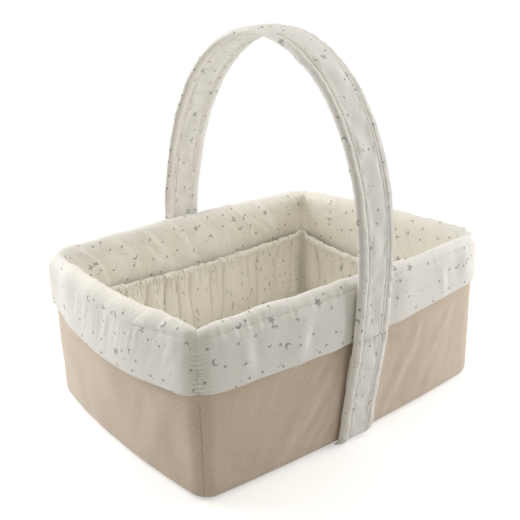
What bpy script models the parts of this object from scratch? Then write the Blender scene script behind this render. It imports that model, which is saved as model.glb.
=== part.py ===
"""Layette basket: a padded cloth basket with a turned-down cuff, gathered pockets and one arched handle.

Every wall is a stack of layers, from the outside in: cover, stiff board, wadding, lining and pocket.
They share one plan, a rounded rectangle whose four sides bow outwards, and one set of stations
along each wall, so each layer is its neighbour's shape moved in by its thickness and a clearance.
Units are metres, +Z is up, the origin is under the middle of the base and the front faces -Y.
"""
import math
from collections import namedtuple

import bmesh
import bpy
from mathutils import Vector

# Plan of the cover at the base
half_length = 0.1847
half_width = 0.1373
corner_radius = 0.029
end_bow = 0.011
side_bow = 0.0083
wall_flare = 0.0005

# Heights of the wall
rim_height = 0.158
rim_dip = 0.003
base_edge_radius = 0.008

# Layers
clearance = 0.0003
cover_cloth = 0.0012
lining_cloth = 0.0016
wall_board_thickness = 0.0025
base_board_thickness = 0.003
wall_padding = 0.009
floor_padding = 0.0085
floor_crown = 0.002
floor_edge_round = 0.004

# Rim roll and cuff
roll_rise = 0.0115
roll_bulge = 0.0014
roll_seat = 0.006
cuff_cloth = 0.0016
cuff_inner_leg = 0.026
cuff_drop = 0.056
cuff_ease = 0.0005
side_hem_dip = 0.0005
end_hem_dip = 0.0105
hem_depth = 0.009
hem_fold = 0.0008
hem_stand = 0.0019

# Pockets
pocket_cloth = 0.0010
pocket_drop = 0.048
side_pocket_sag = 0.010
end_pocket_sag = 0.018
pocket_foot = 0.010
pocket_mouth = 0.0075
pocket_belly = 0.0125
pocket_ease = 0.042
gather_depth = 0.0024
header_ruffle = 0.0014
elastic_width = 0.006
elastic_thickness = 0.0008
casing_fold = 0.0012
belly_height_share = 0.38
gather_height_share = 0.86
drawn_share = 0.25
side_gathers = 11
end_gathers = 7

# Handle
handle_width = 0.054
handle_depth = 0.008
handle_top = 0.377
handle_spring = 0.170
handle_offset = 0.0115
handle_drift = 0.029
handle_narrowing = 0.005
channel_width = 0.0124
groove_width = 0.0022
groove_depth = 0.0020
centre_depth = 0.0050
rod_diameter = 0.0046
handle_core_width = 0.0200
handle_core_depth = 0.0018
rod_foot = 0.018
cross_seam_drop = 0.004
cross_seam_allowance = 0.003
step_length = 0.010
foot_depth = 0.0030
foot_turn = math.radians(42)
channel_opening = math.radians(40)

# Facets
corner_steps = 3
side_steps = 8
edge_steps = 3
roll_steps = 6
channel_steps = 6
facets_per_gather = 4
arch_steps = 20
rod_sides = 6
crease_angle = math.radians(40)
mitre_limit = 2

# Sizes that follow from those above
board_inset = cover_cloth + clearance
padding_inset = board_inset + wall_board_thickness + clearance
padding_face = padding_inset + wall_padding
lining_inset = padding_face + clearance
lining_face = lining_inset + lining_cloth
pocket_inset = lining_face + clearance
floor_inset = pocket_inset + pocket_cloth + clearance
board_floor = cover_cloth + clearance
floor_level = board_floor + base_board_thickness + clearance
floor_top = floor_level + floor_padding
roll_level = rim_height - cuff_cloth - clearance - roll_rise
cover_top = roll_level - roll_seat
hem_height = rim_height - cuff_drop
lining_top = rim_height - cuff_inner_leg
pocket_height = rim_height - pocket_drop
seam_height = hem_height - side_hem_dip - cross_seam_drop
handle_half_depth = handle_depth / 2
channel_inset = handle_width / 2 - channel_width
rod_place = handle_width / 2 - channel_width / 2

# Centre line of the handle, off the cover's face: on the cover, and where it passes over the cuff
handle_stand = clearance + handle_half_depth
handle_cuff_stand = hem_stand + cuff_cloth + hem_fold + clearance + handle_half_depth

# A tunnel's flats stand one clearance off the rod's flats
tunnel_ease = clearance / math.cos(math.pi / rod_sides)

Wall = namedtuple("Wall", "name run reach turns hem_dip pocket_sag gathers")
Station = namedtuple("Station", "centre angle shift mid")
Profile = namedtuple("Profile", "outer holes")

front = Wall("front", half_length, half_width, 0, side_hem_dip, side_pocket_sag, side_gathers)
right = Wall("right", half_width, half_length, 1, end_hem_dip, end_pocket_sag, end_gathers)
back = Wall("back", half_length, half_width, 2, side_hem_dip, side_pocket_sag, side_gathers)
left = Wall("left", half_width, half_length, 3, end_hem_dip, end_pocket_sag, end_gathers)
walls = (front, right, back, left)


def clear_scene():
    """Remove whatever the scene holds."""
    for item in list(bpy.data.objects):
        bpy.data.objects.remove(item, do_unlink=True)


def finish(name, colour, roughness):
    """Make a matt Principled material."""
    material = bpy.data.materials.new(name)
    material.use_nodes = True
    shader = material.node_tree.nodes["Principled BSDF"]
    shader.inputs["Base Color"].default_value = (*colour, 1)
    shader.inputs["Roughness"].default_value = roughness
    shader.inputs["Metallic"].default_value = 0
    return material


def new_object(name, mesh, material):
    """Turn a closed bmesh into a named object with smooth faces and creased edges."""
    bmesh.ops.recalc_face_normals(mesh, faces=mesh.faces[:])
    data = bpy.data.meshes.new(name)
    mesh.to_mesh(data)
    mesh.free()
    data.materials.append(material)
    data.shade_smooth()
    data.set_sharp_from_angle(angle=crease_angle)
    item = bpy.data.objects.new(name, data)
    bpy.context.scene.collection.objects.link(item)
    return item


def spread(x, y, height):
    """Bow the straight-sided plan outwards between its corners and flare it towards the rim."""
    flare = wall_flare * height / rim_height
    end = end_bow * (1 - (y / half_width) ** 2) + flare
    side = side_bow * (1 - (x / half_length) ** 2) + flare
    return Vector((x * (1 + end / half_length), y * (1 + side / half_width), height))


def quarter_turned(along, out, turns):
    """Turn a point of the front wall to the wall that lies that many quarter turns round."""
    x, y = along, -out
    for _ in range(turns):
        x, y = -y, x
    return x, y


def half_path(wall):
    """Length of the wall's plan from its middle to the seam in the corner."""
    return wall.run - corner_radius + corner_radius * math.pi / 4


def station_at(wall, distance, gap):
    """Station of the wall's plan at a signed distance from its middle, pulled back from a seam by gap."""
    straight = wall.run - corner_radius
    turned = max(0, abs(distance) - straight) / corner_radius
    side = math.copysign(1, distance)
    centre = side * min(abs(distance), straight)
    mid = 1 - (distance / half_path(wall)) ** 2
    return Station(centre, side * turned, -side * gap, mid)


def pulled_back(wall, places):
    """Stations at a row of distances, of which the first and last leave half a clearance at their seam."""
    gaps = [clearance / 2] + [0] * (len(places) - 2) + [clearance / 2]
    return [station_at(wall, place, gap) for place, gap in zip(places, gaps)]


def wall_stations(wall):
    """Stations that all plain layers of a wall share, from seam to seam."""
    straight = wall.run - corner_radius
    arc = half_path(wall) - straight
    places = [-straight - arc * (1 - i / corner_steps) for i in range(corner_steps)]
    places += [straight * (2 * i / side_steps - 1) for i in range(side_steps + 1)]
    places += [straight + arc * (i + 1) / corner_steps for i in range(corner_steps)]
    return pulled_back(wall, places)


def board_stations(wall):
    """Stations of the flat stretch between the corners, where the stiff board lies."""
    return wall_stations(wall)[corner_steps:-corner_steps]


def gather_stations(wall):
    """Evenly spaced stations, fine enough to carry the gathers of a pocket."""
    count = wall.gathers * facets_per_gather
    reach = half_path(wall)
    places = [reach * (2 * i / count - 1) for i in range(count + 1)]
    return pulled_back(wall, places)


def wall_point(wall, station, inset, height):
    """Place a point by its station, its depth behind the cover's face and its height."""
    radius = corner_radius - inset
    sine, cosine = math.sin(station.angle), math.cos(station.angle)
    along = station.centre + radius * sine + station.shift * cosine
    out = wall.reach - corner_radius + radius * cosine - station.shift * sine
    above_hem = max(0, height - hem_height) / (rim_height - hem_height)
    dipped = height - rim_dip * (1 - station.mid) ** 2 * above_hem
    return spread(*quarter_turned(along, out, wall.turns), dipped)


def thickened(line, depths):
    """Close a cloth's cross-section: the line that it follows, and that line moved to its right."""
    points = [Vector(point) for point in line]
    moved = []
    for i, point in enumerate(points):
        steps = []
        if i > 0:
            steps.append((point - points[i - 1]).normalized())
        if i < len(points) - 1:
            steps.append((points[i + 1] - point).normalized())
        run = sum(steps, Vector((0, 0))).normalized()
        widen = min(1 / run.dot(steps[0]), mitre_limit)
        moved.append(point + Vector((run.y, -run.x)) * depths[i] * widen)
    return points + moved[::-1]


def ring_faces(mesh, rings):
    """Skin a row of equal rings of points and give back the rings' vertices."""
    rows = [[mesh.verts.new(point) for point in ring] for ring in rings]
    for near, far in zip(rows, rows[1:]):
        for i in range(len(near)):
            mesh.faces.new((near[i - 1], near[i], far[i], far[i - 1]))
    return rows


def ring_edges(mesh, row):
    """Edges round one ring of vertices."""
    return [mesh.edges.get((row[i - 1], row[i])) for i in range(len(row))]


def swept_body(name, outer, holes, material, blind_from=0, blind_to=None):
    """Sweep a section with holes: rings of points for its outside and for each hole.

    A hole runs from station blind_from to blind_to. Where that is short of the end of the body,
    the hole is blind, and otherwise it opens through the end face.
    """
    mesh = bmesh.new()
    rows = ring_faces(mesh, outer)
    last = len(outer) if blind_to is None else blind_to
    first_edges = ring_edges(mesh, rows[0])
    last_edges = ring_edges(mesh, rows[-1])
    for hole in holes:
        hole_rows = ring_faces(mesh, hole[blind_from:last])
        if blind_from:
            mesh.faces.new(hole_rows[0])
        else:
            first_edges += ring_edges(mesh, hole_rows[0])
        if last < len(outer):
            mesh.faces.new(hole_rows[-1])
        else:
            last_edges += ring_edges(mesh, hole_rows[-1])
    bmesh.ops.triangle_fill(mesh, use_beauty=True, edges=first_edges)
    bmesh.ops.triangle_fill(mesh, use_beauty=True, edges=last_edges)
    return new_object(name, mesh, material)


def wall_body(wall, stations, section, name, material):
    """Sweep a wall layer along its stations; section gives a station's outline and holes."""
    sections = [section(wall, station) for station in stations]
    outer = [[wall_point(wall, station, *point) for point in shape.outer]
             for station, shape in zip(stations, sections)]
    holes = [[[wall_point(wall, station, *point) for point in shape.holes[k]]
              for station, shape in zip(stations, sections)]
             for k in range(len(sections[0].holes))]
    return swept_body(f"{name}_{wall.name}", outer, holes, material)


def plan_ring(inset, height):
    """Points once round the basket at one depth behind the cover's face."""
    ring = []
    for wall in walls:
        for station in wall_stations(wall)[:-1]:
            ring.append(wall_point(wall, station._replace(shift=0), inset, height))
    return ring


def plate_body(name, profile, material):
    """Close a plate or pad whose edge has the given (inset, height) profile, from its underside up."""
    mesh = bmesh.new()
    rows = ring_faces(mesh, [plan_ring(*point) for point in profile])
    mesh.faces.new(rows[0])
    mesh.faces.new(rows[-1])
    return new_object(name, mesh, material)


def arc_points(centre, radii, start, end, steps):
    """Points on an elliptical arc between two angles."""
    angles = [start + (end - start) * i / steps for i in range(steps + 1)]
    return [(centre[0] + radii[0] * math.cos(a), centre[1] + radii[1] * math.sin(a)) for a in angles]


def roll_arc(ease):
    """Top of the padded rim, from its inner to its outer side, eased outwards."""
    half = (padding_face + roll_bulge) / 2
    centre = (half - roll_bulge, roll_level)
    return arc_points(centre, (half + ease, roll_rise + ease), 0, math.pi, roll_steps)


def cover_section(wall, station):
    """Outer cover: rounds the base edge and runs up behind the cuff."""
    centre = (base_edge_radius, base_edge_radius)
    radius = base_edge_radius - cover_cloth
    outer = arc_points(centre, centre, -math.pi / 2, -math.pi, edge_steps)
    inner = arc_points(centre, (radius, radius), -math.pi, -math.pi / 2, edge_steps)
    edge = [(0, hem_height), (0, cover_top), (cover_cloth, cover_top), (cover_cloth, hem_height)]
    return Profile(outer + edge + inner, [])


def board_section(wall, station):
    """Stiff board that stands behind the cover."""
    near, far = board_inset, board_inset + wall_board_thickness
    foot = base_edge_radius + clearance
    return Profile([(near, foot), (near, cover_top), (far, cover_top), (far, foot)], [])


def wadding_section(wall, station):
    """Wadding inside the wall, which rolls over the top of the board to pad the rim."""
    foot = base_edge_radius + clearance
    bevel = base_edge_radius + 2 * clearance
    seat = cover_top + clearance
    outline = [(padding_inset, foot), (bevel, floor_level), (padding_face, floor_level)]
    outline += [(padding_face, lining_top)]
    outline += roll_arc(0)
    outline += [(0, seat), (padding_inset, seat)]
    return Profile(outline, [])


def lining_section(wall, station):
    """Padded lining of the wall, up to the seam with the cuff."""
    heights = (floor_level, pocket_height, lining_top - clearance)
    line = [(lining_inset, height) for height in heights]
    return Profile(thickened(line, [lining_cloth] * len(line)), [])


def cuff_section(wall, station):
    """Cuff: up from the lining, over the padded rim and down outside to a turned hem."""
    line = [(lining_inset, lining_top)]
    line += roll_arc(clearance)
    line += [(-cuff_ease, cover_top), (-cuff_ease, (cover_top + hem_height) / 2)]
    line += [(-hem_stand, hem_height + hem_depth), (-hem_stand, hem_height)]
    fold = [cuff_cloth] * (len(line) - 2) + [cuff_cloth + hem_fold] * 2
    dip = wall.hem_dip * station.mid
    leg = cover_top - hem_height
    outline = []
    for inset, height in thickened(line, fold):
        share = max(0, cover_top - height) / leg if inset < padding_inset else 0
        outline.append((inset, height - dip * share))
    return Profile(outline, [])


def pocket_section(wall, station):
    """Pocket: sewn into the foot of the wall, bellied, gathered under a casing that holds elastic."""
    reach = half_path(wall)
    distance = station.centre + corner_radius * station.angle
    ease = min(1, (reach - abs(distance)) / pocket_ease)
    open_share = ease * ease * (3 - 2 * ease)
    fold = (1 - math.cos(2 * math.pi * wall.gathers * (distance / reach + 1) / 2)) / 2
    top = pocket_height - wall.pocket_sag * station.mid
    casing_foot = top - elastic_width - 2 * clearance - 2 * pocket_cloth
    foot = floor_level + pocket_foot
    belly_level = foot + (casing_foot - foot) * belly_height_share
    gather_level = foot + (casing_foot - foot) * gather_height_share
    mouth = pocket_inset + pocket_mouth * open_share
    belly = pocket_inset + (pocket_belly + gather_depth * (fold - 1) / 2) * open_share
    drawn = mouth + (belly - mouth) * drawn_share + gather_depth * fold * open_share
    casing_depth = elastic_thickness + 2 * clearance + 2 * pocket_cloth
    back_face = [(pocket_inset, floor_level), (pocket_inset, foot), (belly, belly_level)]
    back_face += [(drawn, gather_level), (mouth, casing_foot), (mouth, top)]
    front_face = [(mouth + casing_depth + header_ruffle * fold * open_share, top)]
    front_face += [(mouth + casing_depth + header_ruffle * fold * open_share, casing_foot)]
    front_face += [(drawn + pocket_cloth, gather_level - casing_fold), (belly + pocket_cloth, belly_level)]
    front_face += [(pocket_inset + pocket_cloth, foot), (pocket_inset + pocket_cloth, floor_level)]
    near = mouth + pocket_cloth
    far = near + elastic_thickness + 2 * clearance
    low = casing_foot + pocket_cloth
    high = top - pocket_cloth
    return Profile(back_face + front_face, [[(near, low), (near, high), (far, high), (far, low)]])


def elastic_section(wall, station):
    """Flat elastic that runs inside the pocket's casing."""
    outline = pocket_section(wall, station).holes[0]
    near, low = outline[0]
    far, high = outline[2]
    near, far = near + clearance, far - clearance
    low, high = low + clearance, high - clearance
    return Profile([(near, low), (near, high), (far, high), (far, low)], [])


def build_walls(cover, print_cloth, board, wadding, elastic):
    """Make the layers of the four walls."""
    for wall in walls:
        wall_body(wall, wall_stations(wall), cover_section, "outer_panel", cover)
        wall_body(wall, board_stations(wall), board_section, "wall_board", board)
        wall_body(wall, wall_stations(wall), wadding_section, "wall_wadding", wadding)
        wall_body(wall, wall_stations(wall), lining_section, "lining", print_cloth)
        wall_body(wall, wall_stations(wall), cuff_section, "cuff", print_cloth)
        wall_body(wall, gather_stations(wall), pocket_section, "pocket", print_cloth)
        wall_body(wall, gather_stations(wall), elastic_section, "pocket_elastic", elastic)


def build_base(cover, print_cloth, board, wadding):
    """Make the cover's underside, the base board, the floor pad and the lining sewn over it."""
    rim = base_edge_radius + clearance
    plate_body("outer_base_panel", [(rim, 0), (rim, cover_cloth)], cover)
    plate_body("base_board", [(rim, board_floor), (rim, board_floor + base_board_thickness)], board)
    edge = floor_inset + cover_cloth + clearance
    soft = edge + floor_edge_round
    middle = soft + floor_edge_round
    half = floor_level + floor_padding / 2
    pad = [(soft, floor_level), (edge, half), (soft, floor_top), (middle, floor_top + floor_crown)]
    plate_body("floor_pad", pad, wadding)
    line = [(inset, height + clearance) for inset, height in pad[:0:-1]]
    skin = thickened(line, [cover_cloth] * len(line))
    plate_body("floor_lining", skin, print_cloth)


def cover_face(height):
    """Distance of the cover's face from the middle plane, at mid-length."""
    return half_width + side_bow + wall_flare * height / rim_height


def handle_leg():
    """Centre line (out, height, depth) of the handle from its foot under the base edge to the spring."""
    foot_radius = base_edge_radius + clearance
    centre = cover_face(base_edge_radius) - base_edge_radius
    points = []
    for i in range(edge_steps + 1):
        share = i / edge_steps
        depth = foot_depth + (handle_depth - foot_depth) * share
        angle = foot_turn * (1 - share)
        reach = foot_radius + depth / 2
        points.append((centre + reach * math.cos(angle), base_edge_radius - reach * math.sin(angle), depth))
    raised = cover_face(handle_spring) + handle_cuff_stand
    step_top = seam_height - cross_seam_allowance
    step_foot = step_top - step_length
    for height in (rod_foot, (rod_foot + step_foot) / 2, step_foot):
        points.append((cover_face(height) + handle_stand, height, handle_depth))
    halfway = (cover_face(step_foot) + handle_stand + raised) / 2
    points.append((halfway, (step_foot + step_top) / 2, handle_depth))
    points.append((raised, step_top, handle_depth))
    points.append((raised, seam_height - clearance / 2, handle_depth))
    return points


def handle_arch():
    """Centre line of the sleeve: up past the cuff from the cross seam, then a half ellipse."""
    raised = cover_face(handle_spring) + handle_cuff_stand
    rise = handle_top - handle_half_depth - handle_spring
    start = seam_height + clearance / 2
    points = [(-raised, start), (-raised, (start + handle_spring) / 2)]
    arch = arc_points((0, handle_spring), (raised, rise), math.pi, 0, arch_steps)
    points += arch
    points += [(raised, (start + handle_spring) / 2), (raised, start)]
    return points


def handle_section(depth):
    """Outline of the handle: a round channel along each edge and a flat, stitched-down middle."""
    scale = depth / handle_depth
    radii = (channel_width / 2, handle_half_depth * scale)
    far = math.pi - channel_opening
    left_channel = arc_points((-rod_place, 0), radii, channel_opening, math.pi + far, channel_steps)
    right_channel = arc_points((rod_place, 0), radii, -far, far, channel_steps)
    groove = (channel_inset - groove_width / 2, (centre_depth - groove_depth) / 2 * scale)
    middle = (channel_inset - 2 * groove_width, centre_depth / 2 * scale)
    underside = [(-across, -height) for across, height in (groove, middle)]
    underside += [(across, -height) for across, height in (middle, groove)]
    top = [(-across, -height) for across, height in underside]
    return left_channel + underside + right_channel + top


def rod_outline(side, ease):
    """Outline of a rod, or with an ease of the channel that holds it."""
    radius = rod_diameter / 2 + ease
    return arc_points((side * rod_place, 0), (radius, radius), 0, 2 * math.pi, rod_sides)[:-1]


def core_outline(ease):
    """Outline of the flat padding in the middle of the handle, or with an ease of its tunnel."""
    across = handle_core_width / 2 + ease
    deep = handle_core_depth / 2 + ease
    return [(-across, -deep), (across, -deep), (across, deep), (-across, deep)]


def narrowed(across, level):
    """Place across the handle, drawn in towards its feet so that only the flat middle gets narrower."""
    share = max(-1, min(1, across / channel_inset))
    return across - handle_narrowing * (1 - level ** 2) * share


def handle_rings(line, outline):
    """Set an outline square to each step of a centre line of (y, height) points."""
    rings = []
    for i, (y, height) in enumerate(line):
        before = Vector(line[max(i - 1, 0)])
        after = Vector(line[min(i + 1, len(line) - 1)])
        run = (after - before).normalized()
        shape = outline[i] if isinstance(outline[0], list) else outline
        level = height / handle_top
        middle = handle_offset - handle_drift * (1 - level) ** 2
        rings.append([Vector((middle + narrowed(w, level), y - n * run.y, height + n * run.x))
                      for w, n in shape])
    return rings


def build_handle(print_cloth, rod, wadding):
    """Make the sleeve, the two lower bands and what runs inside them."""
    arch = handle_arch()
    tunnels = [rod_outline(-1, tunnel_ease), rod_outline(1, tunnel_ease), core_outline(clearance)]
    holes = [handle_rings(arch, tunnel) for tunnel in tunnels]
    swept_body("handle_sleeve", handle_rings(arch, handle_section(handle_depth)), holes, print_cloth)
    leg = handle_leg()
    inner_from = edge_steps + 1
    for name, side in (("handle_band_front", -1), ("handle_band_back", 1)):
        line = [(side * out, height) for out, height, depth in leg]
        sections = [handle_section(depth) for out, height, depth in leg]
        holes = [handle_rings(line, tunnel) for tunnel in tunnels]
        swept_body(name, handle_rings(line, sections), holes, print_cloth, blind_from=inner_from)
    front_line = [(-out, height) for out, height, depth in leg[inner_from:-1]]
    back_line = [(out, height) for out, height, depth in leg[inner_from:-1]][::-1]
    raised_foot = front_line[0][1] + clearance
    ends = [(front_line[0][0], raised_foot)], [(back_line[-1][0], raised_foot)]
    whole = ends[0] + front_line[1:] + arch[1:-1] + back_line[:-1] + ends[1]
    for name, side in (("handle_rod_left", -1), ("handle_rod_right", 1)):
        swept_body(name, handle_rings(whole, rod_outline(side, 0)), [], rod)
    swept_body("handle_core", handle_rings(whole, core_outline(0)), [], wadding)


def build_basket():
    """Make the whole basket."""
    clear_scene()
    cover = finish("cover_cotton", (0.56, 0.44, 0.33), 0.9)
    print_cloth = finish("printed_cotton", (0.86, 0.84, 0.78), 0.9)
    board = finish("board", (0.50, 0.38, 0.25), 0.85)
    wadding = finish("wadding", (0.90, 0.90, 0.88), 1.0)
    elastic = finish("elastic", (0.88, 0.88, 0.86), 0.8)
    rod = finish("rod_plastic", (0.80, 0.80, 0.78), 0.4)
    build_base(cover, print_cloth, board, wadding)
    build_walls(cover, print_cloth, board, wadding, elastic)
    build_handle(print_cloth, rod, wadding)


build_basket()
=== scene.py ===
import math
from collections import namedtuple

import bpy
import numpy as np
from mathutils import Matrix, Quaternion, Vector


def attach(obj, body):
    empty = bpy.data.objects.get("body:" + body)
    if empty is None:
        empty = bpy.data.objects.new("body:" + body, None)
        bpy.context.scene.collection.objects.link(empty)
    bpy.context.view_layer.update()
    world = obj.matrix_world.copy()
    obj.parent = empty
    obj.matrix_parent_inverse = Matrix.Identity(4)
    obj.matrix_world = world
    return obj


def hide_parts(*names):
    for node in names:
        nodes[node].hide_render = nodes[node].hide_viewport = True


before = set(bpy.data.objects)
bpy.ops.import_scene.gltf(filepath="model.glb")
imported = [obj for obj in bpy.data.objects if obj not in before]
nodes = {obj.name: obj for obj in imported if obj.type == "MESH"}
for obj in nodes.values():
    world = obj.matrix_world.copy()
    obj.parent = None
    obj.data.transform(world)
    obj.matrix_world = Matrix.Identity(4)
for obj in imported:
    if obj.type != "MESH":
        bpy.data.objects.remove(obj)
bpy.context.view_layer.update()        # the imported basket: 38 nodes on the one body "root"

# Boards
# Hardboard, sawn to size: one stiff board in each wall and one under the floor pad.
# They are slipped between cover and wadding and carry no stitches.
board_colour = (0.30, 0.20, 0.115, 1)
board_fibre_colour = (0.44, 0.32, 0.20, 1)
board_fibre_rate = 2400
board_cloud_rate = 60
board_relief = 0.00008


class Shade:
    """A socket in a material on which sums work: each operator adds the Math node that does it."""

    def __init__(self, tree, socket=None):
        self.tree = tree
        self.socket = socket

    def node(self, kind, settings=None, inputs=None, output=0):
        """Add a node of any type: its settings are set, then its sockets get values or links."""
        made = self.tree.nodes.new("ShaderNode" + kind)
        for name, value in (settings or {}).items():
            setattr(made, name, value)
        for name, value in (inputs or {}).items():
            if isinstance(value, Shade):
                self.tree.links.new(value.socket, made.inputs[name])
            else:
                made.inputs[name].default_value = value
        return Shade(self.tree, made.outputs[output])

    def also(self, output):
        """Another output of the node that this socket belongs to."""
        return Shade(self.tree, self.socket.node.outputs[output])

    def maths(self, operation, *others):
        """The Math node of this operation on this value and others."""
        return self.node("Math", {"operation": operation}, dict(enumerate((self, *others))))

    def __add__(self, other):
        return self.maths("ADD", other)

    def __sub__(self, other):
        return self.maths("SUBTRACT", other)

    def __mul__(self, other):
        return self.maths("MULTIPLY", other)

    def __truediv__(self, other):
        return self.maths("DIVIDE", other)

    def __rsub__(self, other):
        return self.maths("MULTIPLY_ADD", -1, other)

    __radd__ = __add__
    __rmul__ = __mul__

    def below(self, edge, blur):
        """1 where this is under the edge and 0 over it, with a soft step as wide as the blur."""
        step = {0: self, "From Min": edge - blur / 2, "From Max": edge + blur / 2, "To Min": 1, "To Max": 0}
        return self.node("MapRange", {"interpolation_type": "SMOOTHSTEP"}, step)

    def between(self, low, high):
        """1 where this is between two values."""
        return self.maths("GREATER_THAN", low) * self.maths("LESS_THAN", high)

    def over(self, other):
        """The greater of this and another value."""
        return self.maths("MAXIMUM", other)

    def hypot(self, other):
        """Length of the line whose two parts are this and another value."""
        return (self * self + other * other).maths("SQRT")

    def ripple(self, pitch):
        """A sine wave from 0 to 1, with this pitch."""
        return (self * (math.tau / pitch)).maths("SINE") * 0.5 + 0.5

    def parts(self):
        """The three parts of this vector."""
        x = self.node("SeparateXYZ", None, {0: self})
        return x, x.also("Y"), x.also("Z")

    def moved(self, scale, shift):
        """This vector with each part scaled, and then shifted."""
        return self.node("VectorMath", {"operation": "MULTIPLY_ADD"}, {0: self, 1: scale, 2: shift})

    def tint(self, first, second):
        """A colour between two, with this as the share of the second."""
        return self.node("Mix", {"data_type": "RGBA"}, {0: self, 6: first, 7: second}, 2)

    def noise(self, scale, detail=2, roughness=0.5):
        """Noise over a vector, from 0 to 1, with so many swells to the metre."""
        return self.node("TexNoise", None, {0: self, "Scale": scale, "Detail": detail,
                                            "Roughness": roughness})

    def stretched(self, x, y, z=1):
        """This vector with each part scaled."""
        return self.node("VectorMath", {"operation": "MULTIPLY"}, {0: self, 1: (x, y, z)})


def new_finish(name, roughness, sheen=0.0, specular=0.5):
    """A material with one Principled shader; gives the material, its shader and a start for nodes."""
    material = bpy.data.materials.new(name)
    material.use_nodes = True
    shader = material.node_tree.nodes["Principled BSDF"]
    shader.inputs["Roughness"].default_value = roughness
    shader.inputs["Sheen Weight"].default_value = sheen
    shader.inputs["Specular IOR Level"].default_value = specular
    return material, shader, Shade(material.node_tree)


def feed(shader, colour, height, relief):
    """Give a shader its colour, and a height in metres that bumps it by this strength."""
    bump = height.node("Bump", None, {"Height": height, "Strength": relief, "Distance": 1})
    height.tree.links.new(colour.socket, shader.inputs["Base Color"])
    height.tree.links.new(bump.socket, shader.inputs["Normal"])


def hardboard():
    """Pressed wood: fine crossed fibres over a cloudy brown, a little shiny on its smooth face."""
    material, shader, start = new_finish("hardboard", 0.55)
    place = start.node("TexCoord", output="Object")
    fibres = place.stretched(1, 1, 0.25).noise(board_fibre_rate, 4, 0.7)
    clouds = place.noise(board_cloud_rate, 3)
    colour = (fibres * 0.6 + clouds * 0.4).tint(board_colour, board_fibre_colour)
    feed(shader, colour, fibres * board_relief, 1)
    return material


def refinish(names, material):
    """Give CAD nodes whose shape is right their finish."""
    for name in names:
        for place in nodes[name].material_slots:
            place.material = material


sides = ("front", "right", "back", "left")
refinish([f"wall_board_{side}" for side in sides] + ["base_board"], hardboard())

# Rods
# Two springy plastic rods, 4.6 mm thick, pushed into the channels along the handle's edges.
# They run from one lower band over the arch into the other, and hold the arch up.
rod_colour = (0.72, 0.72, 0.69, 1)
rod_streak_colour = (0.80, 0.80, 0.77, 1)
rod_streak_rate = 3000
rod_relief = 0.00004


def drawn_plastic():
    """Matt plastic with faint lines along it, left by the die."""
    material, shader, start = new_finish("rod_plastic", 0.42)
    place = start.node("TexCoord", output="Object")
    streaks = place.stretched(1, 0.05, 0.05).noise(rod_streak_rate, 2)
    feed(shader, streaks.tint(rod_colour, rod_streak_colour), streaks * rod_relief, 0.6)
    return material


refinish(["handle_rod_left", "handle_rod_right"], drawn_plastic())

# Pocket elastics
# Flat woven elastic, 6 mm wide, drawn through the casing of each pocket and caught in the corner seams.
elastic_colour = (0.80, 0.80, 0.77, 1)
# The valleys' colour is darker: painted shade.
elastic_valley_shade_colour = (0.60, 0.60, 0.57, 1)
elastic_rib = 0.0011
elastic_relief = 0.0001


def ribbed_elastic():
    """Ribs that run across the band, with painted shade in the valleys between them."""
    material, shader, start = new_finish("ribbed_elastic", 0.75, sheen=0.2)
    x, y = start.node("TexCoord", output="Object").parts()[:2]
    ribs = (x + y).ripple(elastic_rib)
    feed(shader, ribs.tint(elastic_valley_shade_colour, elastic_colour), ribs * elastic_relief, 0.8)
    return material


refinish([f"pocket_elastic_{side}" for side in sides], ribbed_elastic())

# Outer cover
# Beige cotton with tiny pale dots, one panel for each wall and one for the base, sewn along the
# corners and round the base edge. The handle's bands pull it into slanting folds.
half_length = 0.1847
half_width = 0.1373
corner_radius = 0.029
crisp_radius = 0.015
full_crispness = 0.3
crisp_from = 0.118
crisp_rise = 0.020
wall_depth = 0.0152
inner_crispness = 0.6
outer_skin = 0.002
base_skin = 0.0045
end_bow = 0.011
side_bow = 0.0083
wall_flare = 0.0005
rim_height = 0.158
rim_dip = 0.001
hem_height = 0.102
cover_top = 0.1386
base_edge_radius = 0.008
seam_gap = 0.00015
seam_rows = (0.0004, 0.0009)
cover_colour = (0.67, 0.555, 0.450, 1)
# The darker beige serves the random clouds, and painted shade where the weave's threads lie low.
cover_cloud_and_shade_colour = (0.61, 0.495, 0.392, 1)
cover_cloud_rate = 35
dot_colour = (0.84, 0.76, 0.65, 1)
dot_spacing = 0.0030
dot_radius = 0.00042
dot_drift = 0.0030
dot_drift_rate = 330
thread_pitch = 0.0005
cover_step = 0.0016
cover_rows = 88
cover_map_step = 0.7
base_steps = 420
base_map_shift = (0, 3.1)
slub_rate = 900
cover_thread_relief = 0.00006

# From here on, a shade is where a soft step starts and how wide it is. Swells, sways, dents and lumps
# are pairs of height and length, puckers are height, reach and spacing, a groove is depth and width.
cover_hem_shade = (0.002, 0.012)
cover_foot_shade = (0.001, 0.008)
cover_band_shade = (-0.001, 0.006)
band_pull = 0.0012
band_pull_reach = 0.014
cover_seam_fade = 0.016
cover_puckers = (0.00026, 0.0050, 0.0056)
cover_groove = (0.0013, 0.0006)
pucker_wander = 0.0013

handle_width = 0.054
handle_top = 0.377
handle_offset = 0.0115
handle_drift = 0.029
handle_narrowing = 0.005

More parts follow.
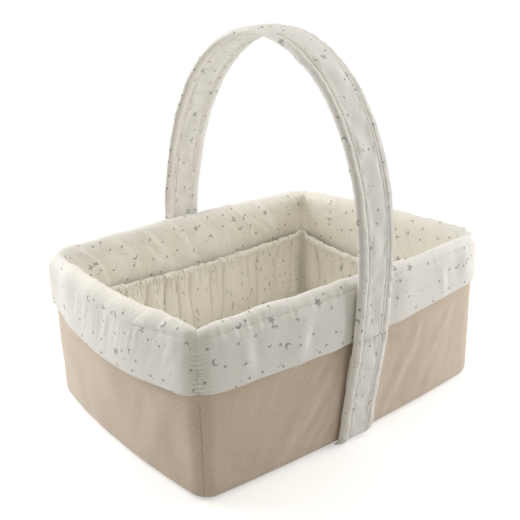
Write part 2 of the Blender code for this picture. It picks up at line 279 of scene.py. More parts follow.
# The cover's swells and folds: for the long walls first, then for the end walls.
Folds = namedtuple("Folds", "size count low high lean length width bow")
cover_swells = (((0.0004, 0.07), (0.00012, 0.022)), ((0.0004, 0.07),))
cover_folds = (
    (Folds(0.0009, 8, (-0.115, 0.025), (-0.045, 0.095), (44, 58), (0.06, 0.12), (0.0048, 0.0080), 0.005),
     Folds(0.00045, 8, (0.020, 0.015), (0.140, 0.090), (46, 62), (0.05, 0.11), (0.0065, 0.0110), 0.005),
     Folds(0.0005, 7, (-0.13, 0.078), (0.13, 0.100), (50, 75), (0.025, 0.045), (0.0040, 0.0065), 0.003)),
    (Folds(0.0005, 7, (-0.10, 0.02), (0.10, 0.10), (60, 120), (0.06, 0.12), (0.006, 0.012), 0.006),))

Wall = namedtuple("Wall", "name run reach turns hem_dip pocket_sag")
front = Wall("front", half_length, half_width, 0, 0.0005, 0.010)
right = Wall("right", half_width, half_length, 1, 0.0105, 0.018)
back = Wall("back", half_length, half_width, 2, 0.0005, 0.010)
left = Wall("left", half_width, half_length, 3, 0.0105, 0.018)
walls = (front, right, back, left)


def half_path(wall):
    """Length of a wall's plan from its middle to the seam in the corner."""
    return wall.run - corner_radius + corner_radius * math.pi / 4


def smooth(share):
    """A soft step from 0 to 1 as the share goes from 0 to 1."""
    share = np.clip(share, 0, 1)
    return share * share * (3 - 2 * share)


def towards_full(wall, distance):
    """Distance along a wall, counted up towards the one of its two corners that is stuffed fuller."""
    return distance if wall.turns % 2 == 0 else -distance


def crispness(wall, distance, angle, inset, height):
    """How far the cloth stands out past the boards' round corner, at an angle from the wall's normal.

    The cloth follows the square corner up to a small circle in it, and less so at the two fuller
    corners. It does so outside and round the rim, less on the inner side, and not at the pockets.
    """
    corner = (corner_radius - crisp_radius) * math.sqrt(2)
    off = math.pi / 4 - np.abs(angle)
    chord = np.sqrt(np.clip(crisp_radius ** 2 - (corner * np.sin(off)) ** 2, 0, None))
    in_circle = np.abs(angle) > math.atan(1 - crisp_radius / corner_radius)
    reach = np.where(in_circle, corner * np.cos(off) + chord, corner_radius / np.cos(angle)) - corner_radius
    outside = (inset < outer_skin) | (height < base_skin)
    share = 1 - (1 - inner_crispness) * np.clip(inset / wall_depth, 0, 1)
    share = share * np.where(towards_full(wall, distance) > 0, full_crispness, 1)
    return reach * share * np.where(outside, 1, smooth((height - crisp_from) / crisp_rise))


def on_wall(wall, distance, inset, height):
    """Points of a wall in the row frame, from arrays of distance along it, depth and height.

    The plan is a rounded rectangle, moved in by the inset. Its sides bow outwards by a parabola, it
    widens steadily towards the rim, and the rim sinks by the fourth power of the way to the corner.
    """
    straight = wall.run - corner_radius
    centre = np.clip(distance, -straight, straight)
    angle = (distance - centre) / corner_radius
    radius = corner_radius - inset + crispness(wall, distance, angle, inset, height)
    along = centre + radius * np.sin(angle)
    out = wall.reach - corner_radius + radius * np.cos(angle)
    x, y = along, -out
    for _ in range(wall.turns):
        x, y = -y, x
    above = np.clip((height - hem_height) / (rim_height - hem_height), 0, None)
    z = height - rim_dip * (distance / half_path(wall)) ** 4 * above
    flare = wall_flare * z / rim_height
    x = x * (1 + (end_bow * (1 - (y / half_width) ** 2) + flare) / half_length)
    y = y * (1 + (side_bow * (1 - (x / half_length) ** 2) + flare) / half_width)
    return np.stack(np.broadcast_arrays(x, y, z), -1)


def swell(rng, across, along, length, waves=9):
    """Gentle unevenness: plane waves of about one length, in random directions, summed."""
    total = 0
    for _ in range(waves):
        turn, phase = rng.uniform(0, math.tau, 2)
        rate = math.tau / (length * rng.uniform(0.7, 1.6))
        total = total + np.cos(rate * (across * math.cos(turn) + along * math.sin(turn)) + phase)
    return total / math.sqrt(waves / 2)


def uneven(rng, across, along, swells, waves=9):
    """Unevenness as a sum of swells, each given by its height and its length."""
    return sum(size * swell(rng, across, along, length, waves) for size, length in swells)


def fold(across, along, place, lean, length, width, bow):
    """One soft fold of height 1: a ridge beside a shallower valley, on a bowed line, faded at its ends."""
    run = (across - place[0]) * math.cos(lean) + (along - place[1]) * math.sin(lean)
    off = (along - place[1]) * math.cos(lean) - (across - place[0]) * math.sin(lean)
    off = (off - bow * (run / length) ** 2) / width
    ridge = np.exp(-off ** 2) - 0.6 * np.exp(-1.5 * (off + 1.4) ** 2)
    return ridge * np.exp(-(2 * run / length) ** 4)


def folds(rng, across, along, family):
    """A family of folds, each placed, leaned, sized and weighted at random within the family's ranges."""
    total = 0
    for _ in range(family.count):
        place = rng.uniform(family.low, family.high)
        lean = math.radians(rng.uniform(*family.lean))
        weight = rng.uniform(0.6, 1.0)
        total = total + weight * fold(across, along, place, lean, rng.uniform(*family.length),
                                      rng.uniform(*family.width), family.bow * rng.uniform(0.5, 1.2))
    return family.size * total


def handle_middle(height):
    """Where the middle of the soft, slightly leaning handle lies along the basket."""
    return handle_offset - handle_drift * (1 - height / handle_top) ** 2


def drawn_in(height):
    """How far each edge of the handle is drawn in, which is most at its feet."""
    return handle_narrowing * (1 - (height / handle_top) ** 2)


def beside_handle(wall, distance, height):
    """How far a point of a long wall lies past the handle's edge; the end walls are far from it."""
    if wall.turns % 2:
        return np.full(np.broadcast(distance, height).shape, half_length)
    side = 1 if wall.turns == 0 else -1
    return np.abs(side * distance - handle_middle(height)) - handle_width / 2 + drawn_in(height)


def from_seam(distance, wall):
    """Distance to the nearer corner seam."""
    return half_path(wall) - np.abs(distance)


def seam_puckers(distance, height, wall, size, reach, spacing):
    """Short creases at right angles to the corner seams: waves in height that fade with distance.

    Both walls at a corner draw the same numbers, so that their edges match along the seam.
    """
    total = 0
    for side in (-1, 1):
        rng = np.random.default_rng(201 + (wall.turns + (side > 0)) % 4)
        off = np.abs(distance - side * half_path(wall))
        shifted = height + pucker_wander * swell(rng, off, height, 0.02)
        wave = np.sin(math.tau * shifted / (spacing * rng.uniform(0.9, 1.1)) + rng.uniform(0, math.tau))
        total = total + (0.6 - 2 * np.abs(wave) ** 0.8) * np.exp(-(off / reach) ** 1.5)
    return size * total


def seam_groove(distance, wall, depth, width):
    """A groove along the corner seams, which rises exponentially to both sides."""
    return depth * np.exp(-from_seam(distance, wall) / width)


def paired(first, second):
    """Two arrays side by side: their values as pairs in a last axis of their own."""
    return np.stack(np.broadcast_arrays(first, second), -1)


def unit(vectors):
    """Vectors with their lengths made 1."""
    return vectors / np.maximum(np.linalg.norm(vectors, axis=-1, keepdims=True), 1e-9)


def grid_faces(rows, columns, closed=False):
    """Corners of the quads between the points of a grid, whose columns may close into a ring."""
    index = np.arange(rows * columns).reshape(rows, columns)
    if closed:
        index = np.concatenate((index, index[:, :1]), 1)
    return np.stack((index[:-1, :-1], index[1:, :-1], index[1:, 1:], index[:-1, 1:]), -1).reshape(-1, 4)


def new_piece(name, points, faces, uv, material, caps=()):
    """A smooth mesh piece: points, quads, closing polygons, and its flat cloth's place at each corner."""
    mesh = bpy.data.meshes.new(name)
    corners = np.concatenate([faces.ravel(), *caps]).astype(np.int32)
    sizes = np.concatenate((np.full(len(faces), 4), [len(cap) for cap in caps])).astype(np.int32)
    mesh.vertices.add(len(points))
    mesh.vertices.foreach_set("co", points.astype(np.float32).ravel())
    mesh.loops.add(len(corners))
    mesh.loops.foreach_set("vertex_index", corners)
    mesh.polygons.add(len(sizes))
    mesh.polygons.foreach_set("loop_start", np.cumsum(sizes) - sizes)
    mesh.update(calc_edges=True)
    mesh.validate()
    mesh.uv_layers.new(name="cloth").uv.foreach_set("vector", uv.astype(np.float32).ravel())
    mesh.shade_smooth()
    mesh.materials.append(material)
    piece = bpy.data.objects.new(name, mesh)
    bpy.context.scene.collection.objects.link(piece)
    return piece


def lengths(points, axis):
    """Distance travelled along one axis of a grid of points."""
    steps = np.linalg.norm(np.diff(points, axis=axis), axis=-1)
    return np.concatenate((np.zeros_like(np.take(steps, [0], axis)), np.cumsum(steps, axis)), axis)


def cloth_piece(name, points, material, shift, fullness=1.0):
    """A sheet of cloth: a grid of its visible side, its rows along the wall.

    Its map is in metres of the flat cloth, moved by a shift so that no two pieces show the same print.
    """
    rows, columns = points.shape[:2]
    down = lengths(points, 1)
    across = lengths(points[:, columns // 2], 0) * fullness
    uv = paired(across[:, None] + shift[0], down + shift[1])
    faces = grid_faces(rows, columns)
    piece = new_piece(name, points.reshape(-1, 3), faces, uv.reshape(-1, 2)[faces].reshape(-1, 2), material)
    piece["flat"] = (float(across[-1]), float(down[:, -1].mean()))
    return piece


def declare(piece, slot, *replaced):
    """Parent a piece to the empty of the body it rides, and hide the nodes it stands for. The slot is not
    used.
    """
    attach(piece, "root")
    if replaced:
        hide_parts(*replaced)


def declare_sheet(piece, node, slot="printed_cotton"):
    """Parent a sheet of cloth to the basket's body, and hide the node it stands for."""
    declare(piece, slot, node)


def pushed(inset, height, relief):
    """Move a section out of its visible side by the relief; the side is left of its direction of travel."""
    run = unit(paired(np.gradient(inset, axis=-1), np.gradient(height, axis=-1)))
    return inset - run[..., 1] * relief, height + run[..., 0] * relief


def stations(wall, step):
    """Even distances along a wall from seam to seam, with two more close to each seam, as a column."""
    reach = half_path(wall)
    even = np.linspace(-reach, reach, int(2 * reach / step) + 1)
    close = reach - np.array(seam_rows)
    return np.sort(np.concatenate((even, close, -close)))[:, None]


def weave(cloth):
    """Height of a plain weave: warp over weft and weft over warp in turn, with slubs."""
    x, y = cloth.parts()[:2]
    warp = (x * (math.pi / thread_pitch)).maths("SINE")
    weft = (y * (math.pi / thread_pitch)).maths("SINE")
    over = (warp * weft).maths("GREATER_THAN", 0)
    slubs = cloth.stretched(1, 0.12).noise(slub_rate, 2)
    return (over * warp.maths("ABSOLUTE") + (1 - over) * weft.maths("ABSOLUTE")) * 0.7 + slubs * 0.6


def pin_dots(cloth):
    """Two staggered lattices of small round dots, pushed a little out of line by noise."""
    drift = cloth.node("TexNoise", None, {0: cloth, "Scale": dot_drift_rate, "Detail": 0}, 1)
    x, y = drift.moved((dot_drift, dot_drift, 0), cloth).parts()[:2]
    lattices = []
    for shift in (0.0, 0.5):
        u = (x / dot_spacing + shift).maths("FRACT") - 0.5
        v = (y / dot_spacing + shift).maths("FRACT") - 0.5
        lattices.append(u.hypot(v) * dot_spacing)
    return lattices[0].maths("MINIMUM", lattices[1]).below(dot_radius, dot_radius * 0.5)


def cover_cotton():
    """Beige plain weave, a little cloudy and with painted shade in the weave's low threads, with pale
    printed dots.
    """
    material, shader, start = new_finish("cover_cotton", 0.92, sheen=0.45, specular=0.25)
    cloth = start.node("UVMap", {"uv_map": "cloth"})
    threads = weave(cloth)
    clouds = cloth.noise(cover_cloud_rate, 3)
    # Darker where clouds fall at random, and painted shade where the threads lie low.
    ground = (clouds * 0.8 + threads * 0.2).tint(cover_cloud_and_shade_colour, cover_colour)
    colour = (pin_dots(cloth) * 0.85).tint(ground, dot_colour)
    feed(shader, colour, threads * cover_thread_relief, 0.18)
    return material


def shaded(values, shade):
    """A soft step from 0 to 1, given where it starts and how wide it is."""
    start, width = shade
    return smooth((values - start) / width)


def bell(values, middle, width):
    """A bell curve of height 1 (a Gaussian)."""
    return np.exp(-((values - middle) / width) ** 2)


def cover_relief(rng, wall, distance, height):
    """Height of the cover's folds over its plain shape; they fade by the handle, the hem and the foot."""
    ends = wall.turns % 2
    past_band = beside_handle(wall, distance, height)
    relief = uneven(rng, distance, height, cover_swells[ends])
    if not ends:
        relief = relief + band_pull * bell(np.maximum(past_band, 0), 0, band_pull_reach)
    for family in cover_folds[ends]:
        relief = relief + folds(rng, distance, height, family)
    relief = relief * smooth(from_seam(distance, wall) / cover_seam_fade)
    relief = relief + seam_puckers(distance, height, wall, *cover_puckers)
    relief = relief - seam_groove(distance, wall, *cover_groove)
    below = shaded(hem_height - height, cover_hem_shade) * shaded(height, cover_foot_shade)
    return relief * shaded(past_band, cover_band_shade) * below


def cover_section(rise):
    """Section of the cover by the share of the way up: round the base edge, then straight up."""
    arc = base_edge_radius * math.pi / 2
    path = rise * (arc + cover_top - base_edge_radius)
    angle = np.clip(path / arc, 0, 1) * math.pi / 2
    inset = base_edge_radius * (1 - np.sin(angle))
    height = base_edge_radius * (1 - np.cos(angle)) + np.clip(path - arc, 0, None)
    return inset, height


beige = cover_cotton()
for number, wall in enumerate(walls):
    rng = np.random.default_rng(11 + number)
    distance = stations(wall, cover_step)
    inset, height = cover_section(np.linspace(0, 1, cover_rows)[None, :])
    relief = cover_relief(rng, wall, distance, height)
    points = on_wall(wall, distance, *pushed(inset, height, relief))
    piece = cloth_piece(f"cover_{wall.name}", points, beige, (number * cover_map_step, 0))
    declare_sheet(piece, f"outer_panel_{wall.name}", "cover_cotton")


def around(count):
    """Wall and distance for each of so many even steps once round the basket."""
    for wall in walls:
        reach = half_path(wall)
        steps = max(2, round(count * reach / sum(half_path(other) for other in walls)))
        yield wall, np.linspace(-reach, reach, steps, endpoint=False)


def plan_rings(profile, count):
    """Rings of points once round the basket, one for each (inset, height) of a profile."""
    return np.array([np.concatenate([on_wall(wall, distance, inset, height)
                                     for wall, distance in around(count)]) for inset, height in profile])


def ringed_piece(name, rings, material, uv):
    """A closed body from rings of points, its two ends closed by a polygon each, faces outwards.

    The flat cloth's places get one column more than the rings, so that the map doesn't fold back.
    """
    rows, columns = rings.shape[:2]
    if uv.shape[1] == columns:
        uv = np.concatenate((uv, uv[:, :1]), 1)
    points = rings.reshape(-1, 3)
    faces = grid_faces(rows, columns, closed=True)
    corners = grid_faces(rows, columns + 1)
    ends = [np.arange(columns)[::-1], np.arange((rows - 1) * columns, rows * columns)]
    a, b, c, d = (points[faces[:, k]] for k in range(4))
    volume = (a * np.cross(b, c)).sum() + (a * np.cross(c, d)).sum()
    if volume < 0:
        faces, corners = faces[:, ::-1], corners[:, ::-1]
        ends = [end[::-1] for end in ends]
    closing = [uv[:, :-1].reshape(-1, 2)[end] for end in ends]
    flat = np.concatenate([uv.reshape(-1, 2)[corners.ravel()], *closing])
    return new_piece(name, points, faces, flat, material, ends)


# The base panel's seam in section: how far in from the base edge, and how high.
base_profile = ((0.015, 0.0012), (0.004, 0.0012), (0, 0.0012), (0, 0.0004), (0.0005, 0), (0.003, 0),
                (0.0045, 0.0003), (0.006, 0), (0.015, 0))
edge = base_edge_radius + 2 * seam_gap
rings = plan_rings([(edge + inwards, height) for inwards, height in base_profile], base_steps)
piece = ringed_piece("cover_base", rings, beige, rings[..., :2] + base_map_shift)
declare_sheet(piece, "outer_base_panel", "cover_cotton")

# Wadding
# White polyester fleece in each wall. It stands inside the boards and rolls over their top edge,
# which makes the soft thick rim. A thinner strip lies flat in the middle of the handle.
padding_step = 0.004
padding_rings = 90
padding_inset = 0.0043
padding_toe = 0.0086
padding_foot = 0.0083
padding_face = 0.0133
padding_sunk = 0.0005
padding_swells = ((0.0003, 0.012),)
padding_seam = 0.0015
padding_seam_reach = 0.006
padding_seam_shade = (0.125, 0.012)
lining_top = 0.132
floor_level = 0.0048
roll_level = 0.1446
roll_half = 0.00735
roll_middle = 0.00595
roll_rise = 0.0115
wadding_colour = (0.80, 0.80, 0.78, 1)
wadding_shadow_colour = (0.66, 0.66, 0.64, 1)
fibre_rate = 1800
cross_fibre_rate = 1500
clump_rate = 140
fibre_relief = 0.0004
clump_relief = 0.001


def fleece():
    """Matted fibres: two turned layers of long noise over soft clumps."""
    material, shader, start = new_finish("polyester_fleece", 1.0, sheen=0.5, specular=0.1)
    place = start.node("TexCoord", output="Object")
    fibres = place.stretched(1, 0.2, 1).noise(fibre_rate, 4, 0.8)
    strands = fibres.over(place.noise(cross_fibre_rate, 4, 0.8))
    clumps = place.noise(clump_rate, 2)
    colour = (strands * 0.5 + clumps * 0.5).tint(wadding_shadow_colour, wadding_colour)
    feed(shader, colour, strands * fibre_relief + clumps * clump_relief, 0.8)
    return material


def read_along(places, travelled, values):
    """Rows of values read at places along a line, between the lengths travelled to each row."""
    return np.stack([np.interp(places, travelled, column) for column in values.T], -1)


def along_path(corners, count):
    """Even points along a line of corners."""
    corners = np.array(corners, float)
    travelled = lengths(corners, 0)
    return read_along(np.linspace(0, travelled[-1], count), travelled, corners)


def arc(centre, radii, start, end, count):
    """Points on an ellipse's arc between two angles in degrees."""
    angle = np.radians(np.linspace(start, end, count))
    return list(zip(centre[0] + radii[0] * np.cos(angle), centre[1] + radii[1] * np.sin(angle)))


white_fleece = fleece()
seat = cover_top + 2 * seam_gap
outline = [(padding_inset, padding_foot), (padding_toe, floor_level), (padding_face, floor_level)]
outline += arc((roll_middle, roll_level), (roll_half, roll_rise), 0, 180, 16)
outline += [(0, seat), (padding_inset, seat), (padding_inset, padding_foot)]
inset, height = along_path(outline, padding_rings + 1)[:-1].T[:, None]
for number, wall in enumerate(walls):
    rng = np.random.default_rng(31 + number)
    distance = stations(wall, padding_step)
    sunk = padding_sunk + uneven(rng, distance, height, padding_swells)
    at_seam = bell(from_seam(distance, wall), 0, padding_seam_reach) * shaded(height, padding_seam_shade)
    rings = on_wall(wall, distance, *pushed(inset, height, sunk + padding_seam * at_seam))
    piece = ringed_piece(f"wadding_{wall.name}", rings, white_fleece, paired(distance, height))
    declare(piece, "wadding", f"wall_wadding_{wall.name}")

# Wall linings
# Off-white cotton with a small scattered grey print, one length for each wall, sewn to the cuff near
# the rim and to the others in the corners. Slack in the cloth lies in broad slanting folds.
lining_drop = 0.0292
lining_step = 0.0018
lining_map_step = 0.6
lining_map_shift = 0.31
# Rows of the lining: from one height to another, so many.
lining_rows = ((lining_top, 0.085, 26), (0.083, floor_level, 22))
pocket_height = 0.110
print_ground_colour = (0.88, 0.865, 0.835, 1)
print_ground_shade = (0.85, 0.83, 0.79, 1)
# The inside's ground is creamier and brighter: painted warm light, reflected round the inside of the
# basket.
inside_warm_light_colour = (0.94, 0.915, 0.845, 1)
inside_warm_light_cloud_colour = (0.90, 0.865, 0.775, 1)
print_colour = (0.26, 0.26, 0.25, 1)
print_cloud_rate = 22
print_wear_rate = 1300
print_thread_relief = 0.00005
print_strength = 0.68
warm_light_blur = 0.03
warm_light_nowhere = 9
warm_light_everywhere = 0
# The print's three scatters: how far apart their places lie, and how far each scatter is shifted.
big_scatter = (0.031, (3.3, 7.1, 0))
middle_scatter = (0.0175, (11.7, 2.9, 0))
small_scatter = (0.0115, (5.2, 13.4, 0))
big_star = 0.0047
big_moon = 0.0031
small_star = 0.0023
small_moon = 0.0021
dot = 0.0013
speck = 0.0007
ring_radius = 0.0034
ring_speck = 0.0003
ring_dots = 9
star_waist_share = 0.45
rim_bend = 0.036
rim_bend_reach = 0.028
rim_bend_ease = 0.004
rim_sway = ((0.0016, 0.05),)
# Broad folds over the rim: height, seed, spacing, and the share of their width in which they drop.
inner_panels = ((0.0014, 51, 0.034, 0.16), (0.0004, 55, 0.013, 0.3))
inner_panel_end = 0.088
inner_panel_fade = 0.05
inner_swells = ((0.0005, 0.060), (0.00018, 0.020))
inner_fold_spacing = 0.020
inner_folds = Folds(0.0006, 0, (-0.2, 0.120), (0.2, 0.156), (104, 140), (0.02, 0.05), (0.0030, 0.0055),
                    0.006)
inner_lowest = -0.0009
inner_lowest_blur = 0.0004
inner_groove = (0.0016, 0.0026)
inner_groove_top = 0.156
inner_groove_fade = 0.008
inner_seam_fade = 0.014


def kept_above(values, low, blur):
    """Values that come to rest on a lowest one, with a soft bend (a softplus)."""
    return low + blur * np.log1p(np.exp((values - low) / blur))


def scattered(cloth, spacing, shift):
    """The nearest of a scatter of places: how far, at which bearing from its own turn, and its lot.

    The places are the points of a two-dimensional Voronoi pattern, whose colour gives each its numbers.
    """
    moved = cloth.moved((1 / spacing, 1 / spacing, 0), shift)
    place = moved.node("TexVoronoi", {"voronoi_dimensions": "2D"},
                       {"Vector": moved, "Scale": 1, "Randomness": 0.85}, "Position")
    own = place.node("SeparateColor", None, {0: place.also("Color")})
    x, y = moved.node("VectorMath", {"operation": "SUBTRACT"}, {0: moved, 1: place}).parts()[:2]
    x, y = x * spacing, y * spacing
    bearing = y.maths("ARCTAN2", x) + own.also("Red") * math.tau
    return x.hypot(y), bearing, own.also("Green")


def star(reach, bearing, size):
    """A five-pointed star: in each of its ten wedges, the side of the line from tip to waist."""
    point = math.tau / 5
    turned = (bearing.maths("FLOORED_MODULO", point) - point / 2).maths("ABSOLUTE")
    waist = star_waist_share * math.sin(point / 2)
    across = reach * turned.maths("COSINE") - size
    edge = across * waist + reach * turned.maths("SINE") * (1 - star_waist_share * math.cos(point / 2))
    return edge.below(0, size * 0.08)


def moon(reach, bearing, size):
    """A crescent: a disc less a smaller one moved sideways."""
    x = reach * bearing.maths("COSINE") - size * 0.48
    y = reach * bearing.maths("SINE")
    bite = x.hypot(y).below(size * 0.78, size * 0.12)
    return reach.below(size, size * 0.12) * (1 - bite)


def ring_of_specks(reach, bearing):
    """A circle of tiny dots, one in each wedge."""
    point = math.tau / ring_dots
    turned = bearing.maths("FLOORED_MODULO", point) - point / 2
    x = reach * turned.maths("COSINE") - ring_radius
    y = reach * turned.maths("SINE")
    return x.hypot(y).below(ring_speck, ring_speck / 2) * 0.7


def night_print(cloth):
    """Where the print lies: stars, crescents, rings, dots and specks on three scatters of their own."""
    reach, bearing, lot = scattered(cloth, *big_scatter)
    marks = star(reach, bearing, big_star) * lot.between(0.0, 0.15) * 0.8
    marks = marks.over(moon(reach, bearing, big_moon) * lot.between(0.15, 0.42))
    marks = marks.over(ring_of_specks(reach, bearing) * lot.between(0.42, 0.72))
    reach, bearing, lot = scattered(cloth, *middle_scatter)
    marks = marks.over(reach.below(dot, dot * 0.4) * lot.between(0.0, 0.36))
    marks = marks.over(star(reach, bearing, small_star) * lot.between(0.36, 0.48))
    marks = marks.over(moon(reach, bearing, small_moon) * lot.between(0.48, 0.58))
    reach, bearing, lot = scattered(cloth, *small_scatter)
    return marks.over(reach.below(speck, speck * 0.4) * lot.between(0.0, 0.32) * 0.75)


def printed_cotton(name, warm_light_from):
    """Off-white plain weave with the scattered print soaked into it, cloudy, and with painted warm light
    down the cloth.

    The ground turns creamier and brighter over a soft step at this distance down the flat cloth: painted
    warm bounce light.
    """
    material, shader, start = new_finish(name, 0.9, sheen=0.3, specular=0.25)
    cloth = start.node("UVMap", {"uv_map": "cloth"})
    threads = weave(cloth)
    clouds = cloth.noise(print_cloud_rate, 3) * 0.7 + threads * 0.2
    white = clouds.tint(print_ground_colour, print_ground_shade)
    warm_lit = clouds.tint(inside_warm_light_colour, inside_warm_light_cloud_colour)
    ground = cloth.parts()[1].below(warm_light_from, warm_light_blur).tint(warm_lit, white)
    worn = cloth.noise(print_wear_rate, 2) * 0.5 + 0.55
    colour = (night_print(cloth) * worn).maths("MINIMUM", print_strength).tint(ground, print_colour)
    feed(shader, colour, threads * print_thread_relief, 0.35)
    return material


def panels(rng, run, reach, spacing, drop):
    """Slack in broad overlapping folds: each swells slowly and then drops by a short soft step."""
    total = 0
    place = -reach - spacing * rng.uniform(0, 1)
    while place < reach + spacing:
        wide = spacing * rng.uniform(0.55, 1.45)
        share = np.clip((run - place) / wide, 0, 1)
        size = rng.uniform(0.35, 1)
        total = total + size * share ** 0.8 * (1 - smooth((share - 1 + drop) / drop))
        place += wide
    return total


def over_rim(wall, distance, height, below, size, seed, spacing, drop):
    """Folds that cross the rim and bend away down both of its sides; below is the way down from its top."""
    rng = np.random.default_rng(seed + wall.turns)
    past_top = np.hypot(below, rim_bend_ease) - rim_bend_ease
    bend = rim_bend * (1 - np.exp(-past_top / rim_bend_reach))
    run = -distance - bend + uneven(rng, distance, height, rim_sway)
    return size * panels(rng, run, half_path(wall) + rim_bend + rim_bend_ease, spacing, drop)


def inner_relief(wall, distance, height, below):
    """Relief of the padded inner side, which runs on from the cuff into the lining."""
    rng = np.random.default_rng(61 + wall.turns)
    relief = sum(over_rim(wall, distance, height, below, *panel) for panel in inner_panels)
    relief = relief * smooth((inner_panel_end - below) / inner_panel_fade)
    relief = relief + uneven(rng, distance, height, inner_swells)
    family = inner_folds._replace(count=int(half_path(wall) / inner_fold_spacing))
    relief = kept_above(relief + folds(rng, -distance, height, family), inner_lowest, inner_lowest_blur)
    groove = seam_groove(distance, wall, *inner_groove)
    groove = groove * smooth((inner_groove_top - height) / inner_groove_fade)
    return relief * smooth(from_seam(distance, wall) / inner_seam_fade) - groove


printed = printed_cotton("printed_cotton", warm_light_nowhere)
# The linings and pockets get the painted warm light all over.
printed_warm_lit = printed_cotton("printed_cotton_warm_lit", warm_light_everywhere)
height = np.concatenate([np.linspace(*rows) for rows in lining_rows])[None, :]
for number, wall in enumerate(walls):
    distance = stations(wall, lining_step)
    relief = inner_relief(wall, distance, height, lining_drop - height + lining_top)
    points = on_wall(wall, distance, wall_depth + relief, height)
    shift = (number * lining_map_step, lining_map_shift)
    piece = cloth_piece(f"lining_cloth_{wall.name}", points, printed_warm_lit, shift)
    declare_sheet(piece, f"lining_{wall.name}")

# Pockets
# The same printed cotton, cut about a fifth wider than the wall, sewn into its foot and its corner seams.
# A casing along the top holds the elastic, which draws the cloth up into ruffles and deep folds.
pocket_inset = 0.0155
pocket_step = 0.0009
pocket_map_step = 0.9
pocket_map_shift = 0.77
pocket_mouth = 0.0075
pocket_belly = 0.0125
pocket_ease = 0.042
pocket_fullness = 1.22
pocket_stand = 0.001
casing_height = 0.0050
casing_depth = 0.0030
casing_points = 24
casing_blend = 0.0015
casing_pinch = (0.0005, 0.0008)
belly_points = 60
mouth_swells = ((0.0003, 0.018), (0.0003, 0.0045))
corner_fill = 0.0022
gather_height = 0.0026
deep_from = 0.010
foot_blend = 0.03
pocket_swells = ((0.0004, 0.03),)
pocket_seam_fade = 0.004
pocket_groove = (0.0008, 0.0012)
slit_width = 0.0009
crease_sway = 0.0011
crease_sway_lengths = (0.008, 0.02)
crease_lean = 0.11
crease_spread = 0.04
thread_colour = (0.80, 0.78, 0.72, 1)
thread_shade_colour = (0.66, 0.64, 0.57, 1)
thread_thickness = 0.00042
thread_twist = 0.00035
thread_relief = 0.00003
stitch_length = 0.0027
stitch_gap = 0.0007
stitch_ends = 4
ring_corners = 6
bead_rings = 5

# The pocket's outline below the casing: share of the way down, share of the belly.
belly_outline = ((0, 0.62), (0.1, 0.66), (0.58, 1), (0.92, 0.55), (1, 0.2))
Creases = namedtuple("Creases", "spacing reach width depth")
gathers = (Creases(0.024, (0.08, 0.20), 0.0050, 0.0075),
           Creases(0.0095, (0.014, 0.040), 0.0016, 0.0022),
           Creases(0.0034, (0.005, 0.012), 0.0008, 0.0014))
ruffles = Creases(0.0030, (1, 2), 0.0008, 0.0022)


def sewing_thread():
    """Twisted cotton thread: strands slanting round it, with painted shade in the grooves between them."""
    material, shader, start = new_finish("sewing_thread", 0.7, sheen=0.2)
    x, y, z = start.node("TexCoord", output="Object").parts()
    strands = (x + y + z * 1.7).ripple(thread_twist)
    feed(shader, strands.tint(thread_shade_colour, thread_colour), strands * thread_relief, 1)
    return material


def stitch_row(name, line, out):
    """A row of stitches on a line of points: short beads of thread, thinned and sunk at both ends.

    Each is the same ring-by-ring bead, set along the line at its own place, all of them in one array.
    """
    travelled = lengths(line, 0)
    count = int(travelled[-1] / (stitch_length + stitch_gap))
    share = np.linspace(0, 1, bead_rings)
    turn = np.linspace(0, math.tau, ring_corners, endpoint=False)[:, None]
    places = (np.arange(count)[:, None] + 0.1) * travelled[-1] / count + share * stitch_length
    centre = read_along(places, travelled, line)
    up = read_along(places, travelled, out)
    side = unit(np.cross(unit(np.gradient(centre, axis=1)), up))
    arch = np.sin(math.pi * share)
    centre = centre + up * (thread_thickness * (0.9 * arch - 0.35))[:, None]
    radius = thread_thickness / 2 * (0.45 + 0.55 * arch)
    rings = centre[:, :, None] + radius[:, None, None] * (
        np.cos(turn) * side[:, :, None] + np.sin(turn) * up[:, :, None])
    points = rings.reshape(-1, 3)
    bead = np.arange(count) * bead_rings * ring_corners
    faces = (grid_faces(bead_rings, ring_corners, closed=True) + bead[:, None, None]).reshape(-1, 4)
    near = list(np.arange(ring_corners)[::-1] + bead[:, None])
    far = list(np.arange(ring_corners) + (bead_rings - 1) * ring_corners + bead[:, None])
    a, b, c = (points[faces[:, k]] for k in range(3))
    from_middle = a - np.repeat(centre[:, bead_rings // 2], len(faces) // count, axis=0)
    if (np.cross(b - a, c - a) * from_middle).sum() < 0:
        faces = faces[:, ::-1]
        near, far = [end[::-1] for end in near], [end[::-1] for end in far]
    corners = np.concatenate([faces.ravel(), *near, *far])
    piece = new_piece(name, points, faces, points[corners, :2], thread, near + far)
    declare(piece, "printed_cotton")


def creases(rng, wall, distance, drop, family):
    """Sharp valleys that run down from a gathering line, irregularly spaced, each fading at its own reach.

    Each is a double exponential in distance, which leaves the cloth between two of them rounded, with a
    narrow slit at its bottom.
    """
    total = 0
    place = -half_path(wall) + rng.uniform(0, family.spacing)
    while place < half_path(wall):
        reach = rng.uniform(*family.reach)
        sway = rng.uniform(-crease_lean, crease_lean) * drop
        wave = drop / rng.uniform(*crease_sway_lengths) + rng.uniform(0, math.tau)
        sway = sway + crease_sway * np.sin(wave)
        width = family.width * rng.uniform(0.8, 1.3) * (0.65 + 0.7 * smooth(drop / crease_spread))
        off = np.abs(distance - place - sway)
        valley = 0.65 * np.exp(-off / width) + 0.35 * np.exp(-(off / slit_width) ** 2)
        total = total - family.depth * rng.uniform(0.5, 1) * valley * smooth((reach - drop) / (0.5 * reach))
        place += family.spacing * rng.uniform(0.55, 1.5)
    return total


def blurred(values, reach):
    """Smooth a row of values by a running mean, twice, with its ends held."""
    for _ in range(2):
        held = np.concatenate((np.full(reach, values[0]), values, np.full(reach, values[-1])))
        values = np.convolve(held, np.ones(2 * reach + 1) / (2 * reach + 1), "valid")
    return values


